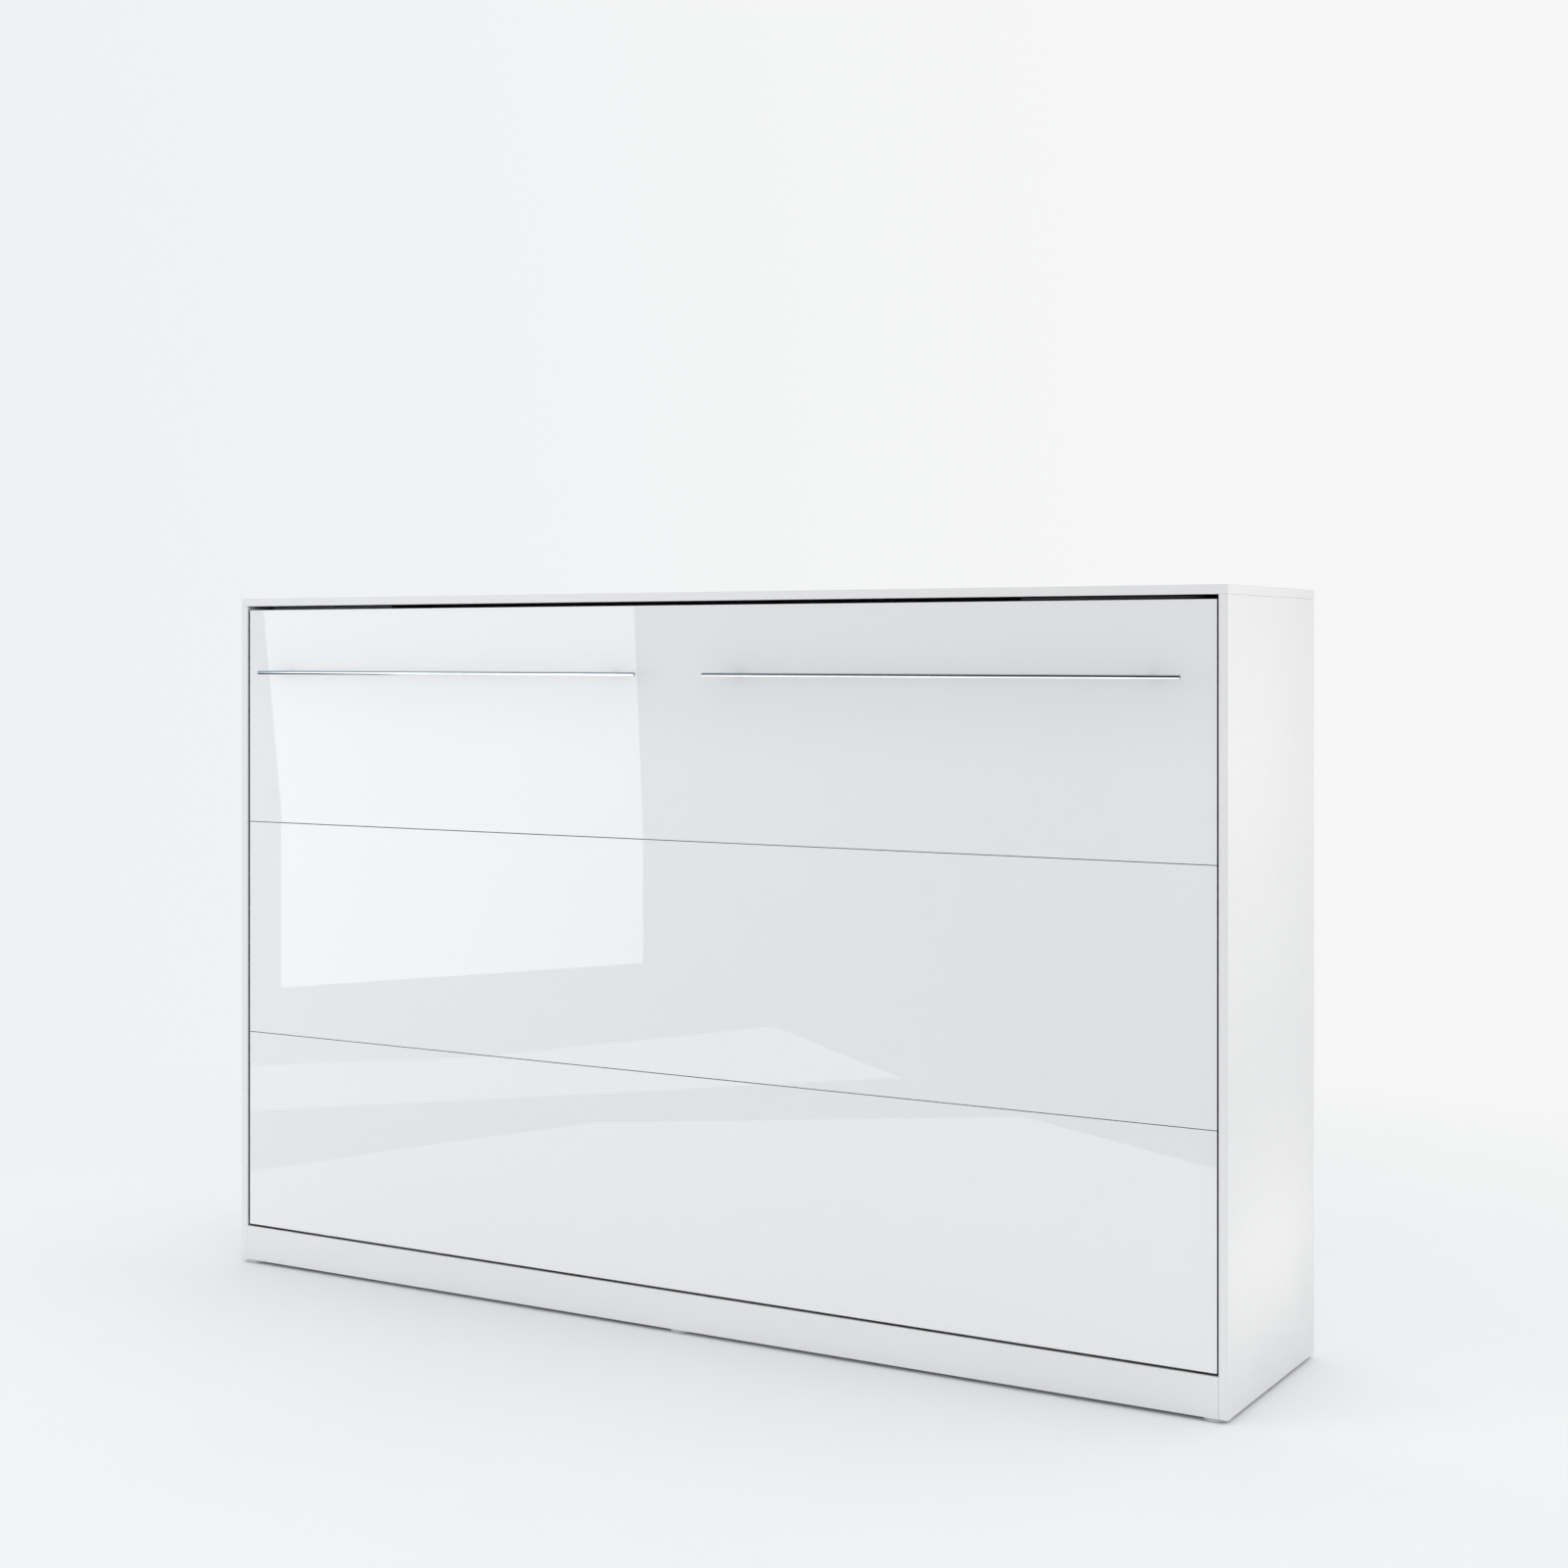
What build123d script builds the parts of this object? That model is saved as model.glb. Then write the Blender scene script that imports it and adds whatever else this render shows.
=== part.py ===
from build123d import *
from math import cos, radians, sin
import os

# Horizontal folding wall bed, millimetres. Closed pose: +X to the right, +Y into the wall, +Z up.
# The origin is on the floor, at the middle of the overall footprint, handles included.

# ---- mattress and bed: what the cabinet is built around ----
MATTRESS_LENGTH = 2000.0
MATTRESS_WIDTH = 1200.0
MATTRESS_THICKNESS = 160.0
MATTRESS_EDGE_RADIUS = 30.0
MATTRESS_GAP = 1.0              # between the slat holders and the mattress
BED_MARGIN = 33.0               # front panels past the mattress, above and below
BED_END_GAP = 3.0               # mattress end to the outer face of the end rail

# ---- cabinet ----
DEPTH = 460.0
BOARD = 16.0                    # thickness of every cabinet board
SPRING_LANE = 36.0              # free width between end rail and side panel
GLIDE_HEIGHT = 7.0
GLIDE_RADIUS = 22.5
GLIDE_INSET = 25.0              # glide centre behind the front and ahead of the back
GLIDE_SIDE_INSET = 27.0         # corner glide centre inside the outer side face
GLIDE_CHAMFER = 1.5
PLINTH_HEIGHT = 69.0
BRACE_HEIGHT = 53.0
BRACE_SPACING = 620.0
BACK_RAIL_HEIGHT = 100.0
BACK_SHEET = 3.0                # hardboard back
BACK_RECESS = 1.0               # hardboard inside the plane of the back edges
REBATE = 8.0                    # width of the rebate that the hardboard lies in
SHEET_PLAY = 0.5                # hardboard edge to the rebate's side
STRIP_WEB = 1.0
STRIP_FLANGE = 8.0              # from the middle to the edge of the joint strip
WALL_HOLE_SPACING = 1600.0
WALL_HOLE_RADIUS = 4.5
SHEET_HOLE_RADIUS = 6.0
BOARD_EDGE_RADIUS = 0.8
OVERCUT = 1.0                   # cutting shapes reach this far past open faces

# ---- joinery ----
DOWEL_RADIUS = 4.0
DOWEL_IN_EDGE = 20.0
DOWEL_IN_FACE = 10.0
CAM_RADIUS = 7.5
CAM_DEPTH = 12.5
CAM_FROM_EDGE = 34.0
CAM_RECESS_DEPTH = 2.0
CAM_RECESS_RADIUS = 2.5         # round recess for the driver
CAM_BOLT_RADIUS = 3.0
CAM_BOLT_IN_FACE = 11.0
RAIL_DOWEL_SPACING = 40.0
TOP_DOWELS = (60.0, 230.0, 400.0)    # behind the front, as on the drilled side panels
TOP_CAMS = (100.0, 360.0)

# ---- front panels and handles ----
PANEL_THICKNESS = 16.0
PANEL_RECESS = 3.0              # panel face behind the front edges of the cabinet
PANEL_SIDE_GAP = 3.6
TOP_GAP = 8.0
BOTTOM_GAP = 4.0
PANEL_JOINT = 1.0               # hairline between two front panels
UPPER_PANEL_HEIGHT = 435.0
MIDDLE_PANEL_HEIGHT = 432.5
PANEL_EDGE_RADIUS = 1.0
HANDLE_RADIUS = 4.0
HANDLE_STANDOFF = 29.0          # bar centre ahead of the front edges of the cabinet
HANDLE_DROP = 128.0             # bar centre below the top edge of the upper panel
HANDLE_END_INSET = 51.0         # bar end to the end of the panel
HANDLE_PAIR_GAP = 147.0         # between the two bars
HANDLE_POST_INSET = 60.0        # post centre to the end of its bar
HANDLE_POST_RADIUS = 3.9
HANDLE_END_CHAMFER = 0.5
HANDLE_SCREW_RADIUS = 2.0
HANDLE_SCREW_HEAD_RADIUS = 4.0
HANDLE_SCREW_HEAD = 2.5
HANDLE_SCREW_REACH = 12.0       # screw length inside the post

# ---- bed frame ----
RAIL_DEPTH = 50.0
RAIL_WIDTH = 30.0
RAIL_WALL = 2.0
RAIL_INSET = 5.0                # rails inside the top and bottom edges of the panels
CROSS_TUBE_AT = 3               # cross tubes stand this many slat pitches from the middle
CAP_DEPTH = 10.0
CAP_PLAY = 0.1
PANEL_SCREW_RADIUS = 2.5
PANEL_SCREW_BITE = 12.0
PANEL_SCREW_HEAD_RADIUS = 5.0
PANEL_SCREW_HEAD = 3.0
PANEL_SCREW_INSET = 60.0        # screw to the top or bottom edge of its panel

# ---- slats and straps ----
SLAT_COUNT = 16
SLAT_WIDTH = 53.0
SLAT_THICKNESS = 8.0
SLAT_END_INSET = 10.0           # slat end inside the outer edge of the rail
SLAT_EDGE_RADIUS = 2.5
HOLDER_FLOOR = 2.0
HOLDER_LIP = 2.0
HOLDER_WALL = 4.5
HOLDER_LENGTH = 34.0
HOLDER_INSET = 3.0              # holder inside the outer edge of the rail
HOLDER_PLAY = 0.2
STRAP_AT = 4                    # straps lie this many slat pitches from the middle
STRAP_WIDTH = 40.0
STRAP_THICKNESS = 2.0
STRAP_GAP = 1.5                 # between mattress and strap
BUCKLE_WIDTH = 52.0
BUCKLE_HEIGHT = 44.0
BUCKLE_THICKNESS = 5.0
BUCKLE_SLOT = 8.0
BUCKLE_BAR = 8.0
BUCKLE_RISE = 180.0             # buckle above the middle of the mattress

# ---- bed pivot ----
PIVOT_RISE = 220.0              # pivot above the lower edge of the panels
FOLD_ANGLE = 90.0
PIN_RADIUS = 6.0
PIN_SHANK_RADIUS = 7.0
PIN_FLANGE_RADIUS = 18.0
PIN_FLANGE = 5.0
PIN_PLAY = 0.05                 # radial, in the bushing
PIN_TIP_GAP = 3.0               # pin tip to the face of the end rail
BUSH_WALL = 1.95
BUSH_FLANGE = 2.0
BUSH_FLANGE_RADIUS = 11.0
BRACKET_PLATE = 4.0
BRACKET_SIDE_INSET = 2.0        # bracket inside the edges of the end rail
BRACKET_PAST_PIVOT = 45.0
BRACKET_PAST_STUD = 17.0
BRACKET_CORNER = 10.0
BOSS_RADIUS = 12.0
BOSS_LENGTH = 20.0
HINGE_PLATE = 3.0
HINGE_PLATE_MARGIN = 20.0       # plate ahead of the pivot
HINGE_PLATE_WIDTH = 100.0
HINGE_PLATE_BELOW = 50.0        # plate below the pivot
HINGE_PLATE_ABOVE = 42.0        # plate above the spring's stud
HINGE_PLATE_CORNER = 12.0
HINGE_SCREW_INSET = 12.0
HINGE_SCREW_RADIUS = 2.25
HINGE_SCREW_HEAD_RADIUS = 4.75
HINGE_SCREW_BITE = 12.0

# ---- closing stops ----
STOP_DROP = 111.0               # lower edge of the bracket below the top of the panels
STOP_WIDTH = 30.0
STOP_REACH = 40.0
STOP_ARM = 18.0
STOP_SHEET = 2.0
STOP_SCREW_RADIUS = 1.75
STOP_SCREW_HEAD_RADIUS = 3.5
STOP_SCREW_BITE = 12.0
STOP_SCREW_SHARES = (0.35, 0.75)     # screws along the base of the bracket
BUFFER_RADIUS = 7.0
BUFFER_LENGTH = 5.7
BUFFER_GAP = 0.3                # panel to buffer when closed
BUFFER_ROUND = 1.2

# ---- gas springs: both studs are at one distance from the pivot ----
STUD_FROM_EDGE = 25.0           # bed's stud above the lower edge of the panels
BED_STUD_ANGLE = -90.0          # direction of the bed's stud from the pivot, bed closed
SPRING_SPREAD = 165.0           # angle between the two studs about the pivot, bed closed
BALL_RADIUS = 5.0
BALL_PLAY = 0.15
BALL_NECK_RADIUS = 3.0
STUD_SHANK_RADIUS = 4.0
STUD_COLLAR_RADIUS = 7.0
STUD_COLLAR = 3.0
STUD_IN_SIDE = 8.0
SOCKET_RADIUS = 8.5
SOCKET_WIDTH = 13.0
SOCKET_MOUTH_RADIUS = 4.4
SOCKET_NECK_RADIUS = 5.0
SOCKET_REACH = 25.0             # ball centre to the cylinder or to the rod
TUBE_RADIUS = 9.0
TUBE_WALL = 1.5
TUBE_END = 5.0
GUIDE_LENGTH = 10.0
GAS_ROD_RADIUS = 4.0
GAS_ROD_PLAY = 0.2
PISTON_PLAY = 0.3
PISTON_LENGTH = 8.0
SPRING_SPARE = 2.0              # piston to guide with the bed closed
SPRING_TAIL = 5.0               # tube end to the lower socket with the bed open

# ---- folding legs ----
LEG_THICKNESS = 5.0
LEG_WIDTH = 45.0
LEG_INSET = 23.0                # leg pin inside the outer face of the end rail
LEG_FLOOR_GAP = 1.0
LEG_PLAY = 0.5                  # leg above its bracket
LEG_BRACKET = 5.5
LEG_BRACKET_LENGTH = 60.0
LEG_BRACKET_WIDTH = 42.0
LEG_PIN_RADIUS = 5.0
LEG_PIN_PLAY = 0.08
LEG_PIN_HEAD_RADIUS = 9.0
LEG_PIN_HEAD = 2.0
LEG_HEAD_PLAY = 0.3
FOOT_LENGTH = 12.0
TONGUE_LENGTH = 8.0
TONGUE_WIDTH = 33.0
TONGUE_THICKNESS = 2.6

# ---- places worked out from the sizes ----
WIDTH = MATTRESS_LENGTH + 2 * (BED_END_GAP + SPRING_LANE + BOARD)
HALF = WIDTH / 2
INNER = HALF - BOARD
RAIL_OUT = INNER - SPRING_LANE
RAIL_IN = RAIL_OUT - RAIL_WIDTH
PANEL_HALF = INNER - PANEL_SIDE_GAP

BACK = (DEPTH + HANDLE_STANDOFF + HANDLE_RADIUS) / 2
FRONT = BACK - DEPTH
PANEL_FACE = FRONT + PANEL_RECESS
PANEL_BACK = PANEL_FACE + PANEL_THICKNESS
RAIL_BACK = PANEL_BACK + RAIL_DEPTH
SLAT_FACE = RAIL_BACK + HOLDER_FLOOR
HOLDER_BACK = SLAT_FACE + SLAT_THICKNESS + HOLDER_LIP
MATTRESS_BASE = HOLDER_BACK + MATTRESS_GAP
MATTRESS_TOP = MATTRESS_BASE + MATTRESS_THICKNESS
SHEET_BACK = BACK - BACK_RECESS
SHEET_FRONT = SHEET_BACK - BACK_SHEET
RAIL_BOARD_FRONT = SHEET_FRONT - BOARD

PLINTH_TOP = GLIDE_HEIGHT + PLINTH_HEIGHT
PANEL_BOTTOM = PLINTH_TOP + BOTTOM_GAP
PANEL_TOP = PANEL_BOTTOM + MATTRESS_WIDTH + 2 * BED_MARGIN
TOP_UNDER = PANEL_TOP + TOP_GAP
HEIGHT = TOP_UNDER + BOARD
BED_MIDDLE = (PANEL_BOTTOM + PANEL_TOP) / 2
FRAME_BOTTOM = PANEL_BOTTOM + RAIL_INSET
FRAME_TOP = PANEL_TOP - RAIL_INSET
BACK_RAIL_BOTTOM = TOP_UNDER - BACK_RAIL_HEIGHT
UPPER_JOINT = PANEL_TOP - UPPER_PANEL_HEIGHT
LOWER_JOINT = UPPER_JOINT - PANEL_JOINT - MIDDLE_PANEL_HEIGHT

SLAT_PITCH = MATTRESS_LENGTH / SLAT_COUNT
CROSS_TUBE_X = CROSS_TUBE_AT * SLAT_PITCH
STRAP_X = STRAP_AT * SLAT_PITCH

HANDLE_INNER = HANDLE_PAIR_GAP / 2
HANDLE_OUTER = PANEL_HALF - HANDLE_END_INSET
HANDLE_Y = FRONT - HANDLE_STANDOFF
HANDLE_Z = PANEL_TOP - HANDLE_DROP
POST_XS = (HANDLE_INNER + HANDLE_POST_INSET, HANDLE_OUTER - HANDLE_POST_INSET)

PIVOT_Y = PANEL_BACK + RAIL_DEPTH / 2
PIVOT_Z = PANEL_BOTTOM + PIVOT_RISE
PLATE_FACE = INNER - HINGE_PLATE
BRACKET_FACE = RAIL_OUT + BRACKET_PLATE
SPRING_X = (BRACKET_FACE + PLATE_FACE) / 2
STUD_DISTANCE = PIVOT_RISE - STUD_FROM_EDGE
STOP_LOW = PANEL_TOP - STOP_DROP


def stud_place(angle):
    """Centre of a spring's ball, at an angle about the pivot."""
    return Vector(
        SPRING_X,
        PIVOT_Y + STUD_DISTANCE * cos(radians(angle)),
        PIVOT_Z + STUD_DISTANCE * sin(radians(angle)),
    )


BED_STUD = stud_place(BED_STUD_ANGLE)
CABINET_STUD = stud_place(BED_STUD_ANGLE + SPRING_SPREAD)
SPRING_LONG = 2 * STUD_DISTANCE * sin(radians(SPRING_SPREAD / 2))
SPRING_SHORT = 2 * STUD_DISTANCE * sin(radians((SPRING_SPREAD - FOLD_ANGLE) / 2))
TUBE_STOP = SPRING_SHORT - SOCKET_REACH - SPRING_TAIL
ROD_TIP = SPRING_LONG - TUBE_STOP + GUIDE_LENGTH + SPRING_SPARE + PISTON_LENGTH

LEG_X = RAIL_OUT - LEG_INSET
LEG_REACH = PIVOT_Z - LEG_FLOOR_GAP
LEG_UNDER = FRAME_TOP + LEG_BRACKET + LEG_PLAY
LEG_OVER = LEG_UNDER + LEG_THICKNESS


# ---- shape helpers ----
def block(x0, x1, y0, y1, z0, z1):
    """A box between two corners."""
    size = Box(x1 - x0, y1 - y0, z1 - z0)
    return Pos((x0 + x1) / 2, (y0 + y1) / 2, (z0 + z1) / 2) * size


def rod(start, end, radius):
    """A round bar from one point to another."""
    start = Vector(*start)
    run = Vector(*end) - start
    across = (0, 1, 0) if abs(run.X) > abs(run.Y) + abs(run.Z) else (1, 0, 0)
    base = Plane(origin=start, x_dir=across, z_dir=run)
    return base * Cylinder(radius, run.length, align=(Align.CENTER, Align.CENTER, Align.MIN))


def ball_at(centre, radius):
    """A ball whose poles lie along X."""
    return Pos(*centre) * Rot(0, 90, 0) * Sphere(radius)


def mirrored(shape):
    """The same piece on the left side."""
    return mirror(shape, about=Plane.YZ)


def both(shapes):
    """Pieces of the right side and their mirror images."""
    return list(shapes) + [mirrored(shape) for shape in shapes]


def touches(first, second):
    """True where the boxes round two shapes meet."""
    one = first.bounding_box()
    two = second.bounding_box()
    low = all(a <= b for a, b in zip(one.min, two.max))
    high = all(a >= b for a, b in zip(one.max, two.min))
    return low and high


def cut(shape, tools):
    """Take every tool that reaches the shape away from it."""
    for tool in tools:
        if touches(shape, tool):
            shape = shape - tool
    return shape


def rounded_x(shape, radius):
    """Round the edges that run along X."""
    return fillet(shape.edges().filter_by(Axis.X), radius)


def tube(x0, x1, y0, y1, z0, z1, along):
    """A rectangular steel tube, open at both ends of one axis."""
    wall = [0 if axis == along else RAIL_WALL for axis in "xyz"]
    hollow = block(
        x0 + wall[0],
        x1 - wall[0],
        y0 + wall[1],
        y1 - wall[1],
        z0 + wall[2],
        z1 - wall[2],
    )
    return block(x0, x1, y0, y1, z0, z1) - hollow


# ---- joinery of the cabinet ----
def rail_lines():
    """Each rail that ends at the sides: middle y and z, its inner face, and the way into it."""
    plinth_z = GLIDE_HEIGHT + PLINTH_HEIGHT / 2
    back_y = RAIL_BOARD_FRONT + BOARD / 2
    return [
        (FRONT + BOARD / 2, plinth_z, FRONT + BOARD, -1),
        (back_y, plinth_z, RAIL_BOARD_FRONT, 1),
        (back_y, BACK_RAIL_BOTTOM + BACK_RAIL_HEIGHT / 2, RAIL_BOARD_FRONT, 1),
    ]


def cabinet_dowels():
    """Beech dowels: up into the top panel, and from the rails into the sides."""
    side_x = INNER + BOARD / 2
    dowels = []
    for behind in TOP_DOWELS:
        low = (side_x, FRONT + behind, TOP_UNDER - DOWEL_IN_EDGE)
        high = (side_x, FRONT + behind, TOP_UNDER + DOWEL_IN_FACE)
        dowels.append(rod(low, high, DOWEL_RADIUS))
    for y, z, _, _ in rail_lines():
        for offset in (-RAIL_DOWEL_SPACING / 2, RAIL_DOWEL_SPACING / 2):
            near = (INNER - DOWEL_IN_EDGE, y, z + offset)
            far = (INNER + DOWEL_IN_FACE, y, z + offset)
            dowels.append(rod(near, far, DOWEL_RADIUS))
    return both(dowels)


def cam_places():
    """Each joint's bolt, the cam's centre on the board's face, and the way into the board."""
    side_x = INNER + BOARD / 2
    places = []
    for behind in TOP_CAMS:
        y = FRONT + behind
        low = TOP_UNDER - CAM_FROM_EDGE
        bolt = rod((side_x, y, low), (side_x, y, TOP_UNDER + CAM_BOLT_IN_FACE), CAM_BOLT_RADIUS)
        places.append((bolt, Vector(INNER, y, low), Vector(1, 0, 0)))
    for y, z, face_y, inward in rail_lines():
        near = INNER - CAM_FROM_EDGE
        bolt = rod((near, y, z), (INNER + CAM_BOLT_IN_FACE, y, z), CAM_BOLT_RADIUS)
        places.append((bolt, Vector(near, face_y, z), Vector(0, inward, 0)))
    return places


def cam_fittings():
    """Cams in the sides and rails, each with the bolt that it pulls."""
    pieces = []
    for bolt, face, inward in cam_places():
        body = rod(face, face + inward * CAM_DEPTH, CAM_RADIUS)
        recess = rod(face, face + inward * CAM_RECESS_DEPTH, CAM_RECESS_RADIUS)
        pieces += [bolt, body - recess - bolt]
    return both(pieces)


def cam_pockets():
    """Holes that the cams and their bolts take in the boards."""
    pockets = []
    for bolt, face, inward in cam_places():
        pockets += [bolt, rod(face, face + inward * CAM_DEPTH, CAM_RADIUS)]
    return both(pockets)


# ---- boards of the cabinet ----
def side_panel():
    """Right side, with the rebate that takes the hardboard back."""
    board = block(INNER, HALF, FRONT, BACK, GLIDE_HEIGHT, TOP_UNDER)
    board = fillet(board.edges(), BOARD_EDGE_RADIUS)
    near = INNER - OVERCUT
    low = GLIDE_HEIGHT - OVERCUT
    high = TOP_UNDER + OVERCUT
    return board - block(near, INNER + REBATE, SHEET_FRONT, BACK + OVERCUT, low, high)


def top_panel():
    """Top, laid over both sides, with the same rebate along its back."""
    board = block(-HALF, HALF, FRONT, BACK, TOP_UNDER, HEIGHT)
    board = fillet(board.edges(), BOARD_EDGE_RADIUS)
    reach = INNER + REBATE
    low = TOP_UNDER - OVERCUT
    return board - block(-reach, reach, SHEET_FRONT, BACK + OVERCUT, low, TOP_UNDER + REBATE)


def plinth():
    """Board under the front panels, flush with the front edges of the sides."""
    board = block(-INNER, INNER, FRONT, FRONT + BOARD, GLIDE_HEIGHT, PLINTH_TOP)
    return rounded_x(board, BOARD_EDGE_RADIUS)


def back_rail(bottom, top):
    """Board across the back, with two holes for the wall screws."""
    board = block(-INNER, INNER, RAIL_BOARD_FRONT, SHEET_FRONT, bottom, top)
    z = (bottom + top) / 2
    return cut(board, wall_holes(z, WALL_HOLE_RADIUS))


def wall_holes(z, radius):
    """The two wall screws' holes at one height."""
    near = RAIL_BOARD_FRONT - OVERCUT
    far = BACK + OVERCUT
    places = (-WALL_HOLE_SPACING / 2, WALL_HOLE_SPACING / 2)
    return [rod((x, near, z), (x, far, z), radius) for x in places]


def wall_hole_heights():
    """Heights of the lower and the upper pair of wall screws."""
    return (GLIDE_HEIGHT + PLINTH_HEIGHT / 2, BACK_RAIL_BOTTOM + BACK_RAIL_HEIGHT / 2)


def back_panel():
    """Right half of the hardboard back."""
    far = INNER + REBATE - SHEET_PLAY
    high = TOP_UNDER + REBATE - SHEET_PLAY
    sheet = block(STRIP_WEB / 2, far, SHEET_FRONT, SHEET_BACK, GLIDE_HEIGHT, high)
    for z in wall_hole_heights():
        sheet = cut(sheet, wall_holes(z, SHEET_HOLE_RADIUS))
    return sheet


def back_joint_strip():
    """H-shaped strip that joins the two hardboard sheets between the rails."""
    low = PLINTH_TOP
    high = BACK_RAIL_BOTTOM
    web = block(-STRIP_WEB / 2, STRIP_WEB / 2, SHEET_FRONT, SHEET_BACK, low, high)
    inside = block(-STRIP_FLANGE, STRIP_FLANGE, SHEET_FRONT - BACK_RECESS, SHEET_FRONT, low, high)
    outside = block(-STRIP_FLANGE, STRIP_FLANGE, SHEET_BACK, BACK, low, high)
    return web + inside + outside


def base_braces():
    """Three low boards that tie the plinth to the rear base rail."""
    top = GLIDE_HEIGHT + BRACE_HEIGHT
    return [
        block(x - BOARD / 2, x + BOARD / 2, FRONT + BOARD, RAIL_BOARD_FRONT, GLIDE_HEIGHT, top)
        for x in (-BRACE_SPACING, 0, BRACE_SPACING)
    ]


def floor_glides():
    """Six round glides under the sides, the plinth and the rear base rail."""
    glides = []
    for x in (-(HALF - GLIDE_SIDE_INSET), 0, HALF - GLIDE_SIDE_INSET):
        for y in (FRONT + GLIDE_INSET, BACK - GLIDE_INSET):
            disc = rod((x, y, 0), (x, y, GLIDE_HEIGHT), GLIDE_RADIUS)
            rim = disc.edges().sort_by(Axis.Z)[0]
            glides.append(chamfer(rim, GLIDE_CHAMFER))
    return glides


# ---- hinge plates, pins and stops on the sides ----
def countersunk_screw(face, y, z, bite, radius, head_radius):
    """Screw into the right side, its head's cone let in from the face of a plate."""
    shank = rod((face, y, z), (INNER + bite, y, z), radius)
    cone = Cone(
        head_radius,
        radius,
        head_radius - radius,
        align=(Align.CENTER, Align.CENTER, Align.MIN),
    )
    return shank + Plane(origin=(face, y, z), z_dir=(1, 0, 0)) * cone


def hinge_plate():
    """Steel plate on the right side that carries the pivot pin and the spring's stud."""
    front = PIVOT_Y - HINGE_PLATE_MARGIN
    back = front + HINGE_PLATE_WIDTH
    low = PIVOT_Z - HINGE_PLATE_BELOW
    high = CABINET_STUD.Z + HINGE_PLATE_ABOVE
    plate = block(PLATE_FACE, INNER, front, back, low, high)
    return rounded_x(plate, HINGE_PLATE_CORNER)


def hinge_screws():
    """Six countersunk screws, in two columns."""
    front = PIVOT_Y - HINGE_PLATE_MARGIN + HINGE_SCREW_INSET
    back = front + HINGE_PLATE_WIDTH - 2 * HINGE_SCREW_INSET
    low = PIVOT_Z - HINGE_PLATE_BELOW + HINGE_SCREW_INSET
    high = CABINET_STUD.Z + HINGE_PLATE_ABOVE - HINGE_SCREW_INSET
    shape = (HINGE_SCREW_BITE, HINGE_SCREW_RADIUS, HINGE_SCREW_HEAD_RADIUS)
    heights = (low, (low + high) / 2, high)
    return [countersunk_screw(PLATE_FACE, y, z, *shape) for y in (front, back) for z in heights]


def pivot_pin():
    """Flanged pin, its flange let into the side panel behind the hinge plate."""
    tip = RAIL_OUT + PIN_TIP_GAP
    shaft = rod((tip, PIVOT_Y, PIVOT_Z), (PLATE_FACE, PIVOT_Y, PIVOT_Z), PIN_RADIUS)
    shank = rod((PLATE_FACE, PIVOT_Y, PIVOT_Z), (INNER, PIVOT_Y, PIVOT_Z), PIN_SHANK_RADIUS)
    flange = rod((INNER, PIVOT_Y, PIVOT_Z), (INNER + PIN_FLANGE, PIVOT_Y, PIVOT_Z), PIN_FLANGE_RADIUS)
    return shaft + shank + flange


def ball_stud(centre, seat_x, shank_x):
    """Ball stud whose collar sits at seat_x and whose shank ends at shank_x."""
    toward = 1 if seat_x > centre.X else -1
    ball = ball_at(centre, BALL_RADIUS)
    neck = rod(centre, (seat_x, centre.Y, centre.Z), BALL_NECK_RADIUS)
    collar_x = seat_x - toward * STUD_COLLAR
    collar = rod((collar_x, centre.Y, centre.Z), (seat_x, centre.Y, centre.Z), STUD_COLLAR_RADIUS)
    shank = rod((seat_x, centre.Y, centre.Z), (shank_x, centre.Y, centre.Z), STUD_SHANK_RADIUS)
    return ball + neck + collar + shank


def stop_bracket():
    """Angle on the right side that holds a buffer behind the panel's edge."""
    front = PANEL_BACK + BUFFER_GAP + BUFFER_LENGTH
    high = STOP_LOW + STOP_WIDTH
    base = block(INNER - STOP_SHEET, INNER, front, front + STOP_REACH, STOP_LOW, high)
    arm = block(INNER - STOP_ARM, INNER, front, front + STOP_SHEET, STOP_LOW, high)
    return base + arm


def closing_buffer():
    """Rubber buffer on the arm of the stop bracket."""
    x = INNER - (STOP_ARM + STOP_SHEET) / 2
    z = STOP_LOW + STOP_WIDTH / 2
    near = PANEL_BACK + BUFFER_GAP
    disc = rod((x, near, z), (x, near + BUFFER_LENGTH, z), BUFFER_RADIUS)
    rim = disc.edges().filter_by(GeomType.CIRCLE).sort_by(Axis.Y)[0]
    return fillet(rim, BUFFER_ROUND)


def stop_screws():
    """Two flat screws through the base of the stop bracket."""
    front = PANEL_BACK + BUFFER_GAP + BUFFER_LENGTH
    z = STOP_LOW + STOP_WIDTH / 2
    face = INNER - STOP_SHEET
    shape = (STOP_SCREW_BITE, STOP_SCREW_RADIUS, STOP_SCREW_HEAD_RADIUS)
    places = [front + share * STOP_REACH for share in STOP_SCREW_SHARES]
    return [countersunk_screw(face, y, z, *shape) for y in places]


# ---- front of the bed ----
def front_panel(bottom, top):
    """One glossy board of the front, as wide as the opening allows."""
    board = block(-PANEL_HALF, PANEL_HALF, PANEL_FACE, PANEL_BACK, bottom, top)
    return fillet(board.edges(), PANEL_EDGE_RADIUS)


def handle_bar():
    """Right-hand round bar."""
    bar = rod((HANDLE_INNER, HANDLE_Y, HANDLE_Z), (HANDLE_OUTER, HANDLE_Y, HANDLE_Z), HANDLE_RADIUS)
    return chamfer(bar.edges().filter_by(GeomType.CIRCLE), HANDLE_END_CHAMFER)


def handle_posts(bar):
    """Posts of one bar, saddled to its back."""
    posts = [rod((x, PANEL_FACE, HANDLE_Z), (x, HANDLE_Y, HANDLE_Z), HANDLE_POST_RADIUS) for x in POST_XS]
    return [post - bar for post in posts]


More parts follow.
